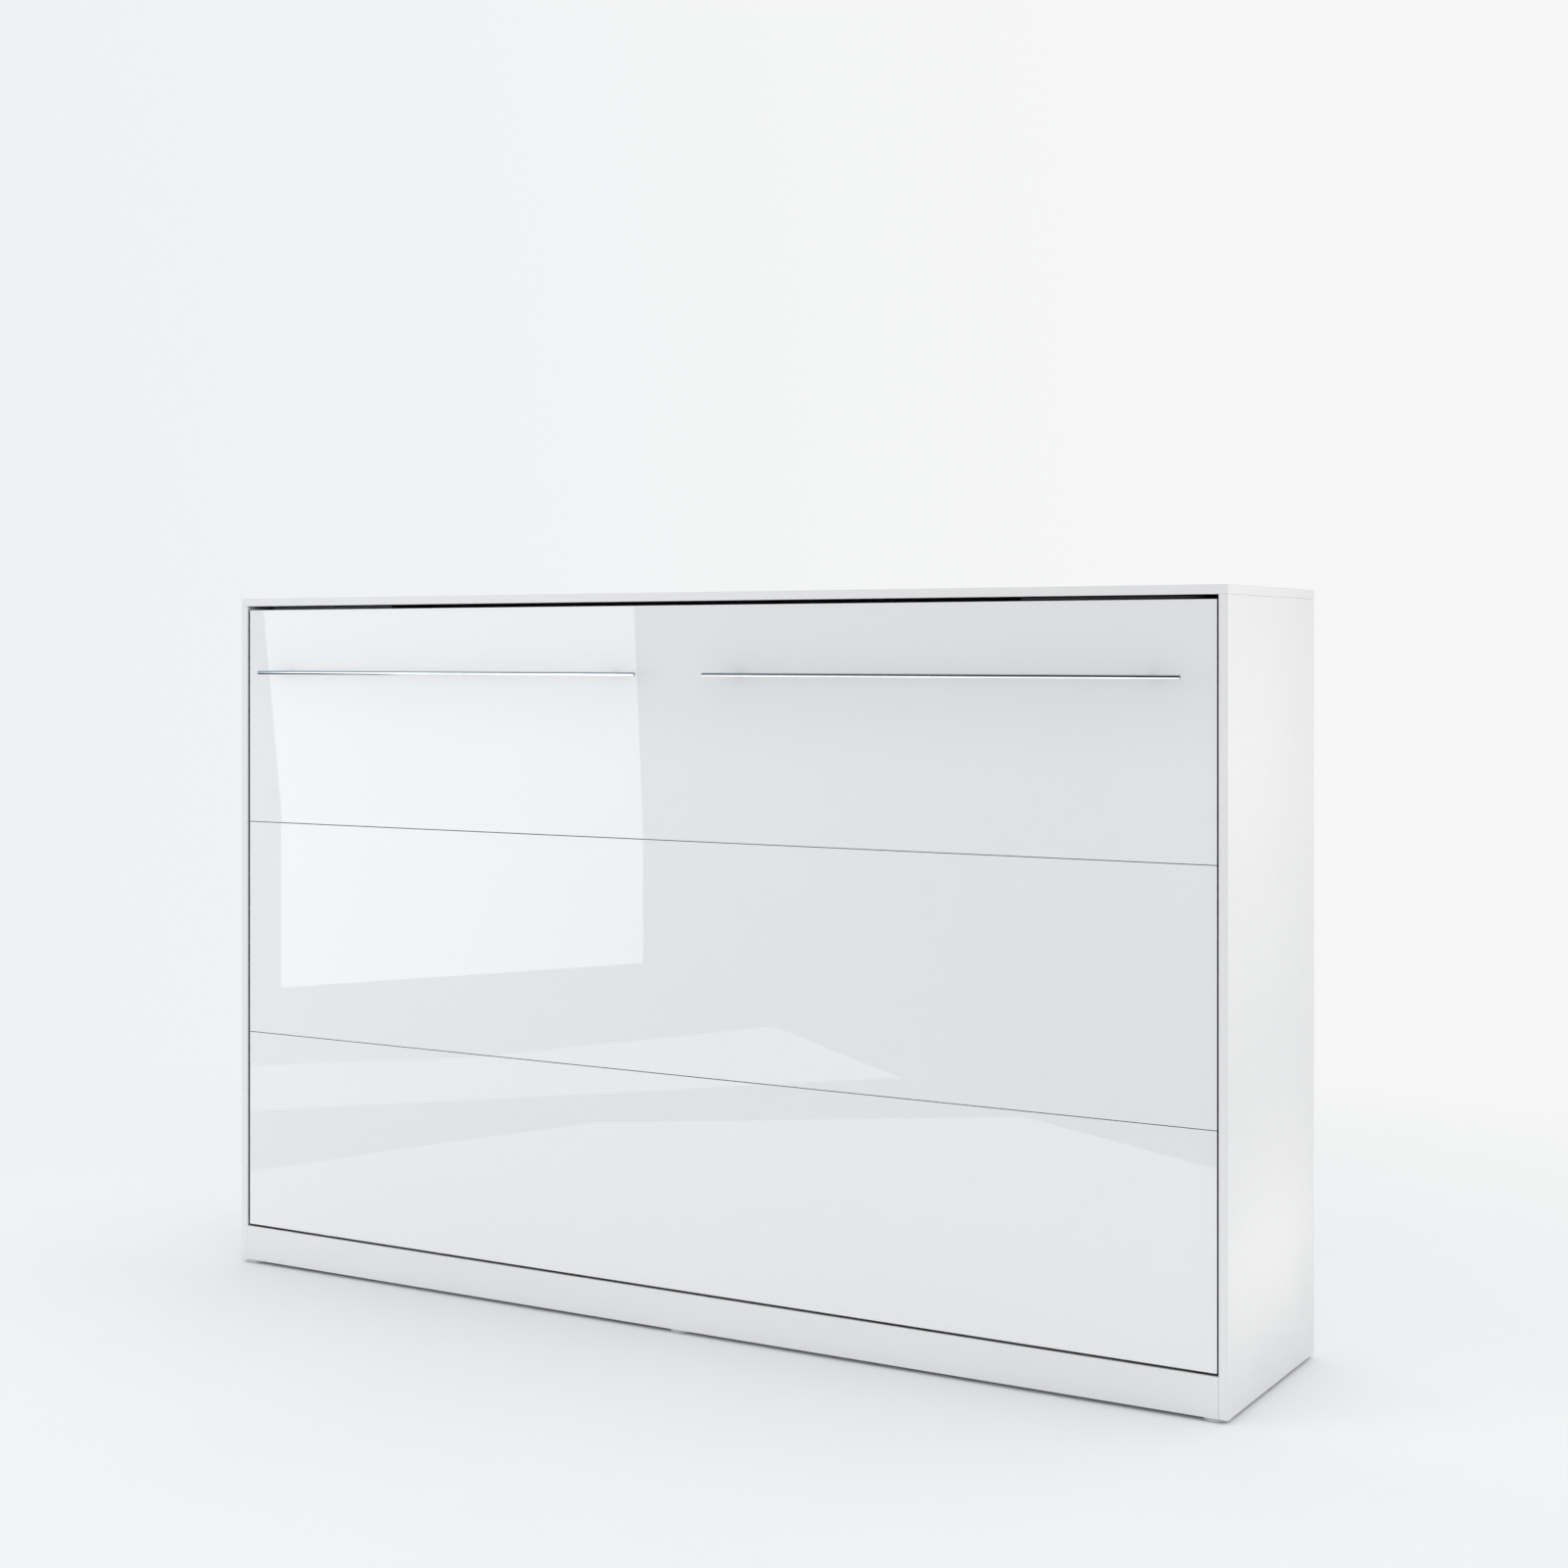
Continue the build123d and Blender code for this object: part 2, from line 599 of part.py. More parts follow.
def handle_screws():
    """Screws from inside, through the panel and into the posts."""
    screws = []
    for x in POST_XS:
        tip = PANEL_FACE - HANDLE_SCREW_REACH
        shank = rod((x, tip, HANDLE_Z), (x, PANEL_BACK, HANDLE_Z), HANDLE_SCREW_RADIUS)
        head_back = PANEL_BACK + HANDLE_SCREW_HEAD
        head = rod((x, PANEL_BACK, HANDLE_Z), (x, head_back, HANDLE_Z), HANDLE_SCREW_HEAD_RADIUS)
        screws.append(shank + head)
    return screws


# ---- steel frame of the bed ----
def end_rail():
    """Right end rail, full height."""
    return tube(RAIL_IN, RAIL_OUT, PANEL_BACK, RAIL_BACK, FRAME_BOTTOM, FRAME_TOP, "z")


def long_rail(bottom):
    """Long rail between the two end rails."""
    return tube(-RAIL_IN, RAIL_IN, PANEL_BACK, RAIL_BACK, bottom, bottom + RAIL_WIDTH, "x")


def cross_tube():
    """Right cross tube, between the long rails."""
    low = FRAME_BOTTOM + RAIL_WIDTH
    high = FRAME_TOP - RAIL_WIDTH
    near = CROSS_TUBE_X - RAIL_WIDTH / 2
    return tube(near, near + RAIL_WIDTH, PANEL_BACK, RAIL_BACK, low, high, "z")


def rail_end_caps():
    """Plastic plugs, flush in both ends of the right end rail."""
    inset = RAIL_WALL + CAP_PLAY
    caps = []
    for low in (FRAME_BOTTOM, FRAME_TOP - CAP_DEPTH):
        caps.append(
            block(
                RAIL_IN + inset,
                RAIL_OUT - inset,
                PANEL_BACK + inset,
                RAIL_BACK - inset,
                low,
                low + CAP_DEPTH,
            )
        )
    return caps


def panel_spans():
    """Bottom and top of the lower, middle and upper front panels."""
    return [
        (PANEL_BOTTOM, LOWER_JOINT - PANEL_JOINT),
        (LOWER_JOINT, UPPER_JOINT - PANEL_JOINT),
        (UPPER_JOINT, PANEL_TOP),
    ]


def panel_screws():
    """Long screws through the end rails and cross tubes into the front panels."""
    screws = []
    head_back = RAIL_BACK + PANEL_SCREW_HEAD
    for x in (CROSS_TUBE_X, (RAIL_IN + RAIL_OUT) / 2):
        for bottom, top in panel_spans():
            for z in (bottom + PANEL_SCREW_INSET, top - PANEL_SCREW_INSET):
                tip = PANEL_BACK - PANEL_SCREW_BITE
                shank = rod((x, tip, z), (x, RAIL_BACK, z), PANEL_SCREW_RADIUS)
                head = rod((x, RAIL_BACK, z), (x, head_back, z), PANEL_SCREW_HEAD_RADIUS)
                screws.append(shank + head)
    return screws


# ---- slats, mattress and straps ----
def slat_places():
    """Middle of each slat along the bed."""
    return [(index - (SLAT_COUNT - 1) / 2) * SLAT_PITCH for index in range(SLAT_COUNT)]


def slat(x):
    """One beech slat, from the bottom rail to the top rail."""
    low = FRAME_BOTTOM + SLAT_END_INSET
    high = FRAME_TOP - SLAT_END_INSET
    half = SLAT_WIDTH / 2
    board = block(x - half, x + half, SLAT_FACE, SLAT_FACE + SLAT_THICKNESS, low, high)
    return fillet(board.edges().filter_by(Axis.Z), SLAT_EDGE_RADIUS)


def slat_holders(x):
    """The two plastic pockets that hold the ends of one slat."""
    half = SLAT_WIDTH / 2 + HOLDER_WALL
    room = SLAT_WIDTH / 2 + HOLDER_PLAY
    holders = []
    for outer, way in ((FRAME_BOTTOM, 1), (FRAME_TOP, -1)):
        start = outer + way * HOLDER_INSET
        stop = start + way * HOLDER_LENGTH
        pocket = outer + way * SLAT_END_INSET
        low, high = sorted((start, stop))
        shell = block(x - half, x + half, RAIL_BACK, HOLDER_BACK, low, high)
        low, high = sorted((pocket, stop + way * OVERCUT))
        top = SLAT_FACE + SLAT_THICKNESS + HOLDER_PLAY
        holders.append(shell - block(x - room, x + room, SLAT_FACE, top, low, high))
    return holders


def mattress():
    """Mattress, standing on its long edge with the bed closed."""
    half = MATTRESS_LENGTH / 2
    low = BED_MIDDLE - MATTRESS_WIDTH / 2
    body = block(-half, half, MATTRESS_BASE, MATTRESS_TOP, low, low + MATTRESS_WIDTH)
    return fillet(body.edges(), MATTRESS_EDGE_RADIUS)


def mattress_strap():
    """Right webbing strap, from rail to rail over the mattress."""
    near = STRAP_X - STRAP_WIDTH / 2
    loops = []
    for grow in (STRAP_GAP + STRAP_THICKNESS, STRAP_GAP):
        half = MATTRESS_WIDTH / 2 + grow
        loop = block(
            near,
            near + STRAP_WIDTH,
            RAIL_BACK,
            MATTRESS_TOP + grow,
            BED_MIDDLE - half,
            BED_MIDDLE + half,
        )
        far = loop.edges().filter_by(Axis.X).sort_by(Axis.Y)[-2:]
        loops.append(fillet(far, MATTRESS_EDGE_RADIUS + grow))
    return loops[0] - loops[1]


def strap_buckle():
    """Buckle frame on the right strap, with a slot each side of its middle bar."""
    y = MATTRESS_TOP + STRAP_GAP + STRAP_THICKNESS
    z = BED_MIDDLE + BUCKLE_RISE
    half_x = BUCKLE_WIDTH / 2
    half_z = BUCKLE_HEIGHT / 2
    frame = block(STRAP_X - half_x, STRAP_X + half_x, y, y + BUCKLE_THICKNESS, z - half_z, z + half_z)
    frame = fillet(frame.edges().filter_by(Axis.Y), BUCKLE_BAR / 2)
    room = STRAP_WIDTH / 2
    for way in (-1, 1):
        low, high = sorted((z + way * BUCKLE_BAR / 2, z + way * (BUCKLE_BAR / 2 + BUCKLE_SLOT)))
        frame = frame - block(STRAP_X - room, STRAP_X + room, y, y + BUCKLE_THICKNESS, low, high)
    return frame


# ---- pivot on the bed ----
def bed_bracket():
    """Plate on the right end rail with the boss of the pivot."""
    front = PANEL_BACK + BRACKET_SIDE_INSET
    back = RAIL_BACK - BRACKET_SIDE_INSET
    low = BED_STUD.Z - BRACKET_PAST_STUD
    high = PIVOT_Z + BRACKET_PAST_PIVOT
    plate = rounded_x(block(RAIL_OUT, BRACKET_FACE, front, back, low, high), BRACKET_CORNER)
    end = RAIL_OUT + BOSS_LENGTH
    boss = rod((RAIL_OUT, PIVOT_Y, PIVOT_Z), (end, PIVOT_Y, PIVOT_Z), BOSS_RADIUS)
    bore = rod((RAIL_OUT, PIVOT_Y, PIVOT_Z), (end, PIVOT_Y, PIVOT_Z), PIN_RADIUS + PIN_PLAY + BUSH_WALL)
    return plate + boss - bore


def pivot_bushing():
    """Flanged bushing in the boss, running on the pivot pin."""
    end = RAIL_OUT + BOSS_LENGTH
    flange_end = end + BUSH_FLANGE
    sleeve = rod((RAIL_OUT, PIVOT_Y, PIVOT_Z), (end, PIVOT_Y, PIVOT_Z), PIN_RADIUS + PIN_PLAY + BUSH_WALL)
    flange = rod((end, PIVOT_Y, PIVOT_Z), (flange_end, PIVOT_Y, PIVOT_Z), BUSH_FLANGE_RADIUS)
    bore = rod((RAIL_OUT, PIVOT_Y, PIVOT_Z), (flange_end, PIVOT_Y, PIVOT_Z), PIN_RADIUS + PIN_PLAY)
    return sleeve + flange - bore


# ---- gas spring ----
def along_spring(distance):
    """A point on the spring's line, from the cabinet's stud towards the bed's stud."""
    way = (BED_STUD - CABINET_STUD).normalized()
    return CABINET_STUD + way * distance


def socket(ball, neck_end, mouth_way):
    """Ball socket with its mouth towards the stud and a neck along the spring."""
    half = Vector(SOCKET_WIDTH / 2, 0, 0)
    body = rod(ball - half, ball + half, SOCKET_RADIUS)
    neck = rod(ball, neck_end, SOCKET_NECK_RADIUS)
    seat = ball_at(ball, BALL_RADIUS + BALL_PLAY)
    mouth = rod(ball, ball + Vector(mouth_way * SOCKET_WIDTH, 0, 0), SOCKET_MOUTH_RADIUS)
    return body + neck - seat - mouth


def gas_cylinder():
    """Cylinder tube, closed at the upper end."""
    shell = rod(along_spring(SOCKET_REACH), along_spring(TUBE_STOP), TUBE_RADIUS)
    bore = rod(along_spring(SOCKET_REACH + TUBE_END), along_spring(TUBE_STOP), TUBE_RADIUS - TUBE_WALL)
    return shell - bore


def rod_guide():
    """Ring in the lower end of the cylinder that guides the rod."""
    start = along_spring(TUBE_STOP - GUIDE_LENGTH)
    end = along_spring(TUBE_STOP)
    ring = rod(start, end, TUBE_RADIUS - TUBE_WALL)
    return ring - rod(start, end, GAS_ROD_RADIUS + GAS_ROD_PLAY)


def gas_rod():
    """Polished rod with its piston."""
    tip = along_spring(SPRING_LONG - ROD_TIP)
    behind = along_spring(SPRING_LONG - ROD_TIP + PISTON_LENGTH)
    shaft = rod(along_spring(SPRING_LONG - SOCKET_REACH), tip, GAS_ROD_RADIUS)
    piston = rod(tip, behind, TUBE_RADIUS - TUBE_WALL - PISTON_PLAY)
    return shaft + piston


# ---- folding legs ----
def leg_pin():
    """Pin of the right leg, its head flush with the leg's top."""
    low = FRAME_TOP
    shoulder = LEG_OVER - LEG_PIN_HEAD
    shank = rod((LEG_X, PIVOT_Y, low), (LEG_X, PIVOT_Y, shoulder), LEG_PIN_RADIUS)
    head = rod((LEG_X, PIVOT_Y, shoulder), (LEG_X, PIVOT_Y, LEG_OVER), LEG_PIN_HEAD_RADIUS)
    return shank + head


def leg_bracket():
    """Pad on the corner of the frame that carries the right leg's pin."""
    half = LEG_BRACKET_WIDTH / 2
    near = RAIL_OUT - LEG_BRACKET_LENGTH
    high = FRAME_TOP + LEG_BRACKET
    return block(near, RAIL_OUT, PIVOT_Y - half, PIVOT_Y + half, FRAME_TOP, high)


def leg_tongue():
    """End of the blade that the foot is moulded on."""
    end = LEG_X - LEG_REACH + FOOT_LENGTH
    middle = (LEG_UNDER + LEG_OVER) / 2
    low = middle - TONGUE_THICKNESS / 2
    half = TONGUE_WIDTH / 2
    return block(end - TONGUE_LENGTH, end, PIVOT_Y - half, PIVOT_Y + half, low, low + TONGUE_THICKNESS)


def leg_blade():
    """Right leg: a flat steel blade, folded along the top rail."""
    half = LEG_WIDTH / 2
    end = LEG_X - LEG_REACH + FOOT_LENGTH
    blade = block(end, LEG_X, PIVOT_Y - half, PIVOT_Y + half, LEG_UNDER, LEG_OVER)
    blade += rod((LEG_X, PIVOT_Y, LEG_UNDER), (LEG_X, PIVOT_Y, LEG_OVER), half)
    blade += leg_tongue()
    hole = rod((LEG_X, PIVOT_Y, LEG_UNDER), (LEG_X, PIVOT_Y, LEG_OVER), LEG_PIN_RADIUS + LEG_PIN_PLAY)
    seat_z = LEG_OVER - LEG_PIN_HEAD - LEG_HEAD_PLAY
    seat = rod((LEG_X, PIVOT_Y, seat_z), (LEG_X, PIVOT_Y, LEG_OVER), LEG_PIN_HEAD_RADIUS + LEG_HEAD_PLAY)
    return blade - hole - seat


def leg_foot():
    """Plastic foot on the end of the right leg."""
    half = LEG_WIDTH / 2
    start = LEG_X - LEG_REACH
    body = block(start, start + FOOT_LENGTH, PIVOT_Y - half, PIVOT_Y + half, LEG_UNDER, LEG_OVER)
    return body - leg_tongue()


# ---- the whole bed ----
def cabinet_parts():
    """Nodes of the cabinet, which stands on the floor and is screwed to the wall."""
    dowels = cabinet_dowels()
    pockets = cam_pockets()
    pins = both([pivot_pin()])
    studs = both([ball_stud(CABINET_STUD, PLATE_FACE, INNER + STUD_IN_SIDE)])
    screws = both(hinge_screws() + stop_screws())
    joinery = dowels + pockets
    fixings = joinery + pins + studs + screws
    right_side = cut(side_panel(), fixings)
    right_plate = cut(hinge_plate(), pins + studs + screws)
    right_sheet = back_panel()
    rear = back_rail(GLIDE_HEIGHT, PLINTH_TOP)
    upper = back_rail(BACK_RAIL_BOTTOM, TOP_UNDER)
    return {
        "side_panel_left": mirrored(right_side),
        "side_panel_right": right_side,
        "top_panel": cut(top_panel(), joinery),
        "plinth": cut(plinth(), joinery),
        "rear_base_rail": cut(rear, joinery),
        "upper_back_rail": cut(upper, joinery),
        "back_panel_left": mirrored(right_sheet),
        "back_panel_right": right_sheet,
        "back_joint_strip": back_joint_strip(),
        "base_braces": base_braces(),
        "floor_glides": floor_glides(),
        "cabinet_dowels": dowels,
        "cam_fittings": cam_fittings(),
        "hinge_plate_left": mirrored(right_plate),
        "hinge_plate_right": right_plate,
        "plate_screws": screws,
        "pivot_pins": pins,
        "cabinet_ball_studs": studs,
        "stop_brackets": both([cut(stop_bracket(), screws)]),
        "closing_buffers": both([closing_buffer()]),
    }


def bed_parts():
    """Nodes of the bed, which folds about the pivot pins."""
    right_bar = handle_bar()
    long_screws = both(panel_screws())
    short_screws = both(handle_screws())
    studs = both([ball_stud(BED_STUD, BRACKET_FACE, RAIL_OUT - RAIL_WALL)])
    right_end = cut(end_rail(), long_screws + studs)
    right_cross = cut(cross_tube(), long_screws)
    right_bracket = cut(bed_bracket(), studs)
    lower, middle, upper = [cut(front_panel(*span), long_screws + short_screws) for span in panel_spans()]
    pins = both([leg_pin()])
    return {
        "front_panel_upper": upper,
        "front_panel_middle": middle,
        "front_panel_lower": lower,
        "handle_bar_left": mirrored(right_bar),
        "handle_bar_right": right_bar,
        "handle_posts": both([cut(post, short_screws) for post in handle_posts(right_bar)]),
        "handle_screws": short_screws,
        "bed_rail_top": long_rail(FRAME_TOP - RAIL_WIDTH),
        "bed_rail_bottom": long_rail(FRAME_BOTTOM),
        "bed_end_rail_left": mirrored(right_end),
        "bed_end_rail_right": right_end,
        "bed_cross_tube_left": mirrored(right_cross),
        "bed_cross_tube_right": right_cross,
        "rail_end_caps": both(rail_end_caps()),
        "panel_screws": long_screws,
        "slats": [slat(x) for x in slat_places()],
        "slat_holders": [holder for x in slat_places() for holder in slat_holders(x)],
        "mattress": mattress(),
        "mattress_straps": both([mattress_strap()]),
        "strap_buckles": both([strap_buckle()]),
        "bed_pivot_bracket_left": mirrored(right_bracket),
        "bed_pivot_bracket_right": right_bracket,
        "pivot_bushings": both([pivot_bushing()]),
        "bed_ball_studs": studs,
        "leg_brackets": both([cut(leg_bracket(), pins)]),
        "leg_pins": pins,
    }


def moving_parts():
    """Nodes of the gas springs and the legs, one of each for each side."""
    upper_socket = socket(CABINET_STUD, along_spring(SOCKET_REACH), 1)
    lower_socket = socket(BED_STUD, along_spring(SPRING_LONG - SOCKET_REACH), -1)
    right = {
        "gas_cylinder": gas_cylinder(),
        "gas_rod_guide": rod_guide(),
        "gas_upper_socket": upper_socket,
        "gas_rod": gas_rod(),
        "gas_lower_socket": lower_socket,
        "leg_blade": leg_blade(),
        "leg_foot": leg_foot(),
    }
    parts = {}
    for name, shape in right.items():
        parts[f"{name}_left"] = mirrored(shape)
        parts[f"{name}_right"] = shape
    return parts


def main():
    os.makedirs("parts", exist_ok=True)
    nodes = {**cabinet_parts(), **bed_parts(), **moving_parts()}
    for name, shape in nodes.items():
        whole = Compound(shape) if isinstance(shape, list) else shape
        export_step(whole, f"parts/{name}.step")


if __name__ == "__main__":
    main()
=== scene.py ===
from math import cos, pi, radians, sin

import bmesh
import bpy
import numpy as np
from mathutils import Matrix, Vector
from mathutils.bvhtree import BVHTree


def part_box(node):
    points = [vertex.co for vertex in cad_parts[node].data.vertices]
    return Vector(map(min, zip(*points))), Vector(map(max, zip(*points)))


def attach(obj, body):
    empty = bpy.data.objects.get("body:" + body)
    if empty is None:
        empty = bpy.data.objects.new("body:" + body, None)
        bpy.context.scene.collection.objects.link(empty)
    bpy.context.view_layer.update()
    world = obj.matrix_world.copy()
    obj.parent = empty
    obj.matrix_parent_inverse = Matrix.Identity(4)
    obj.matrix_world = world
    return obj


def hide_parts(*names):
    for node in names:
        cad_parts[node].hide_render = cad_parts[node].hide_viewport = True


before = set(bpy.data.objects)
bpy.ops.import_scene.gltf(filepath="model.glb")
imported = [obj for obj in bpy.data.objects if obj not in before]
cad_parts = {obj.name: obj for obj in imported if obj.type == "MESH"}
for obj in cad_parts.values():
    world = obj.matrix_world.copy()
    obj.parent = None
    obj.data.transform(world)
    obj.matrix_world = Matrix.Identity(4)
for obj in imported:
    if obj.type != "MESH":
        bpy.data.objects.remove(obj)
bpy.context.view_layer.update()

# The looks of a horizontal folding wall bed. Metres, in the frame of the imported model:
# closed, +X to the right, +Y into the wall, +Z up, the floor at 0.

MM = 0.001

# ---- camera ----
CAMERA_LENS = 56.92              # in millimetres, like the sensor
CAMERA_SENSOR = 36.0
CAMERA_SHIFT = (0.0546, -0.0833)
CAMERA_RIGHT = 2.4025            # right of the middle of the bed
CAMERA_AHEAD = 3.900             # ahead of the cabinet's front edges
CAMERA_HEIGHT = 1.257
CAMERA_TURN = radians(31.12)     # to the left of straight ahead

# ---- studio ----
# Each band brings in a tone as one component of a ray's direction goes from start to end:
# component, start, end, tone, how it is blended with what is there.
BACKDROP_LEFT = (0.870, 0.879, 0.895)
BACKDROP_RIGHT = ("X", -0.75, -0.25, (0.926, 0.929, 0.927), "MIX")
ROOM = (0.853, 0.856, 0.872)     # light from all round, and more of it from behind
ROOM_BEHIND = ("Y", -0.1, 0.6, (0.18, 0.18, 0.17), "ADD")
SEEN = (0.02, 0.02, 0.022)       # what gloss sees straight ahead of the bed
SEEN_LEFT = ("X", -0.35, -0.75, (0.50, 0.68, 0.78), "ADD")
SEEN_BEHIND = ("Y", -0.2, 0.5, (0.34, 0.34, 0.34), "ADD")
SEEN_ABOVE = ("Z", 0.75, 0.95, (0.50, 0.50, 0.50), "ADD")
SEEN_FAR_FLOOR = ("Z", -0.01, -0.05, (0.74, 0.75, 0.76), "ADD")
SEEN_NEAR_FLOOR = ("Z", -0.30, -0.42, SEEN, "MIX")

FLOOR_TONE = (0.872, 0.882, 0.887)
FLOOR_MOTTLE = 0.985             # share of the tone that the darker spots have
FLOOR_RADIUS = 9.0
FLOOR_FADE = (1.4, 3.2)          # the floor fades into the backdrop between these radii
FLOOR_RINGS = 48
FLOOR_SPOKES = 96
FLOOR_CROWDING = 1.5             # rings lie closer together towards the middle with a higher power

# ---- lights ----
WARM = (1.0, 0.975, 0.945)
LIGHTS = {
    "window_light": {
        "place": (-3.145, -3.83, 1.45), "facing": (0.866, 0.50, 0.0), "size": (1.475, 2.8), "power": 29.5,
    },
    "near_light": {
        "place": (1.95, -0.23, 1.25), "facing": (-1.0, 0.15, 0.0), "size": (0.5, 0.5), "power": 2.5,
        "colour": WARM, "seen": False,
    },
    "low_light": {
        "place": (1.50, -0.02, 0.06), "facing": (-1.0, 0.0, 0.45), "size": (0.5, 0.06), "power": 0.08,
        "colour": WARM, "seen": False, "spread": 60,
    },
    "top_light": {
        "place": (0.0, -0.6, 4.2), "facing": (0.0, 0.0, -1.0), "size": (5.0, 4.0), "power": 22.0,
        "seen": False,
    },
}

# Pale patches on the floor ahead of the bed that only gloss shows, as outlines in X and Y.
NEAR_PATCH = ((-1.63, -0.89), (-1.44, -1.42), (-1.26, -1.84), (-0.31, -2.51), (0.36, -2.13),
              (2.2, -1.10), (2.2, -0.25), (-1.63, -0.25))
FAR_PATCH = ((-2.66, -2.06), (-2.17, -2.54), (-1.69, -3.58), (-0.87, -2.89), (-1.06, -2.70),
             (-1.50, -2.20), (-2.17, -1.50))
PATCH_GLOW = 2.2
PATCH_HEIGHT = 2 * MM

# ---- cabinet ----
GAP_SHADE_REACH = 8 * MM               # how far the boards' finish looks for a face opposite, for painted shade in narrow gaps
GAP_SHADE_CLEAR = (0.28, 0.52)         # share of clear space round a point: painted black shade below, the finish's own colour above
# colour of the painted shade deep in narrow gaps
GAP_SHADE_COLOUR = (0.012, 0.012, 0.012)
WARP_HEIGHTS = (0.911, 1.346)    # the upper board is warped ever more between these heights
WARP_SLOPE = -3.1 * MM           # and twists by this along X
WARP_BOW = 2.4 * MM

# ---- mattress ----
VOXEL = 16 * MM                  # cells of the body before it is inflated
SWELL_LIMIT = 17 * MM            # most that the top may rise as it is inflated
SIDE_LIMIT = 4 * MM
BASE_LIMIT = 0.5 * MM
MATTRESS_CROWN = 16 * MM         # top of the body before it is inflated, below the CAD top
MATTRESS_ROUND = 32 * MM
CLOTH_PRESSURE = 4.0
CLOTH_STIFFNESS = 15.0
CLOTH_BENDING = 0.5
CLOTH_QUALITY = 5
CLOTH_FRAMES = 20
QUILT_PITCH = 150 * MM
QUILT_DEPTH = 8 * MM
QUILT_WIDTH = 20 * MM
QUILT_BORDER = 55 * MM           # the seam round the quilting, from the edge
QUILT_FADE = 15 * MM             # the channels come in over this much before that seam
BORDER_WIDTH = 9 * MM            # and the seam itself
BAND_PITCH = 40 * MM
BAND_DEPTH = 1.5 * MM
BAND_SHARPNESS = 4               # a higher power narrows the channels in the sides
FACE_FROM = 0.6                  # part of a normal along Y above which a point is on a large face
SIDE_FROM = 0.5                  # and below which it is on a side
TURN_RUN = 0.3                   # each relief comes in over this much of it
PIPING_RADIUS = 3.2 * MM
PIPING_PROUD = 0.15              # share of its radius that its middle stands off the cover
PIPING_INSET = 30 * MM           # piping below the top face and above the base
PIPING_STEPS = 360
PIPING_SIDES = 10
PROBE = 0.1                      # rays that look for the cover start this far out

# ---- straps ----
STRAP_WIDTH = 40 * MM
STRAP_THICKNESS = 2 * MM
STRAP_RIM = 0.4                  # share of the thickness left at the strap's rounded edges
STRAP_MARGIN = 2 * MM            # the strap also bears on what lies this far beside it
STRAP_STEP = 8 * MM
STRAP_HEM = 16 * MM
BUCKLE_SLOT_AT = 8 * MM          # middle of each slot from the middle of the buckle
BUCKLE_BAR_AT = 4 * MM           # and where the tail comes to lie on the middle bar
BUCKLE_RIM = 2 * MM              # the tail leaves the outer bar this far inside the buckle's edge
TAIL_LENGTH = 95 * MM            # free end past the buckle
TAIL_NARROWER = 2 * MM
TAIL_LIFT = 0.6                  # middle of the tail over the buckle, in thicknesses
TAIL_DROP = 1.5 * MM             # how far it has bent down at each end of the buckle's bars
TAIL_LEAN = 0.8 * MM             # and moved on by the first of them
TAIL_LANDING = 10 * MM           # it lies on the strap again from here on
TAIL_POINTS = 12
TAIL_STEP = 2 * MM
CREST_DEPTH = 15 * MM            # part of the strap under the tail, down from the buckle's base
STITCH_LENGTH = 3 * MM
STITCH_RADIUS = 0.45 * MM
STITCH_COUNT = 8
STITCH_SPAN = 0.9                # share of the strap's width that a row takes
STITCH_PROFILE = ((-0.5, 0.35), (-0.3, 1.0), (0.3, 1.0), (0.5, 0.35))   # share of length, of radius
STITCH_SIDES = 6


# ======================================================================================
# Node-based finishes
# ======================================================================================

MIX_SHARE, MIX_FIRST, MIX_SECOND, MIX_RESULT = 0, 6, 7, 2    # sockets of a Mix node for colours

SOCKETS = {
    "ior": "IOR",
    "metallic": "Metallic",
    "sheen_weight": "Sheen Weight",
    "sheen_roughness": "Sheen Roughness",
    "specular": "Specular IOR Level",
}


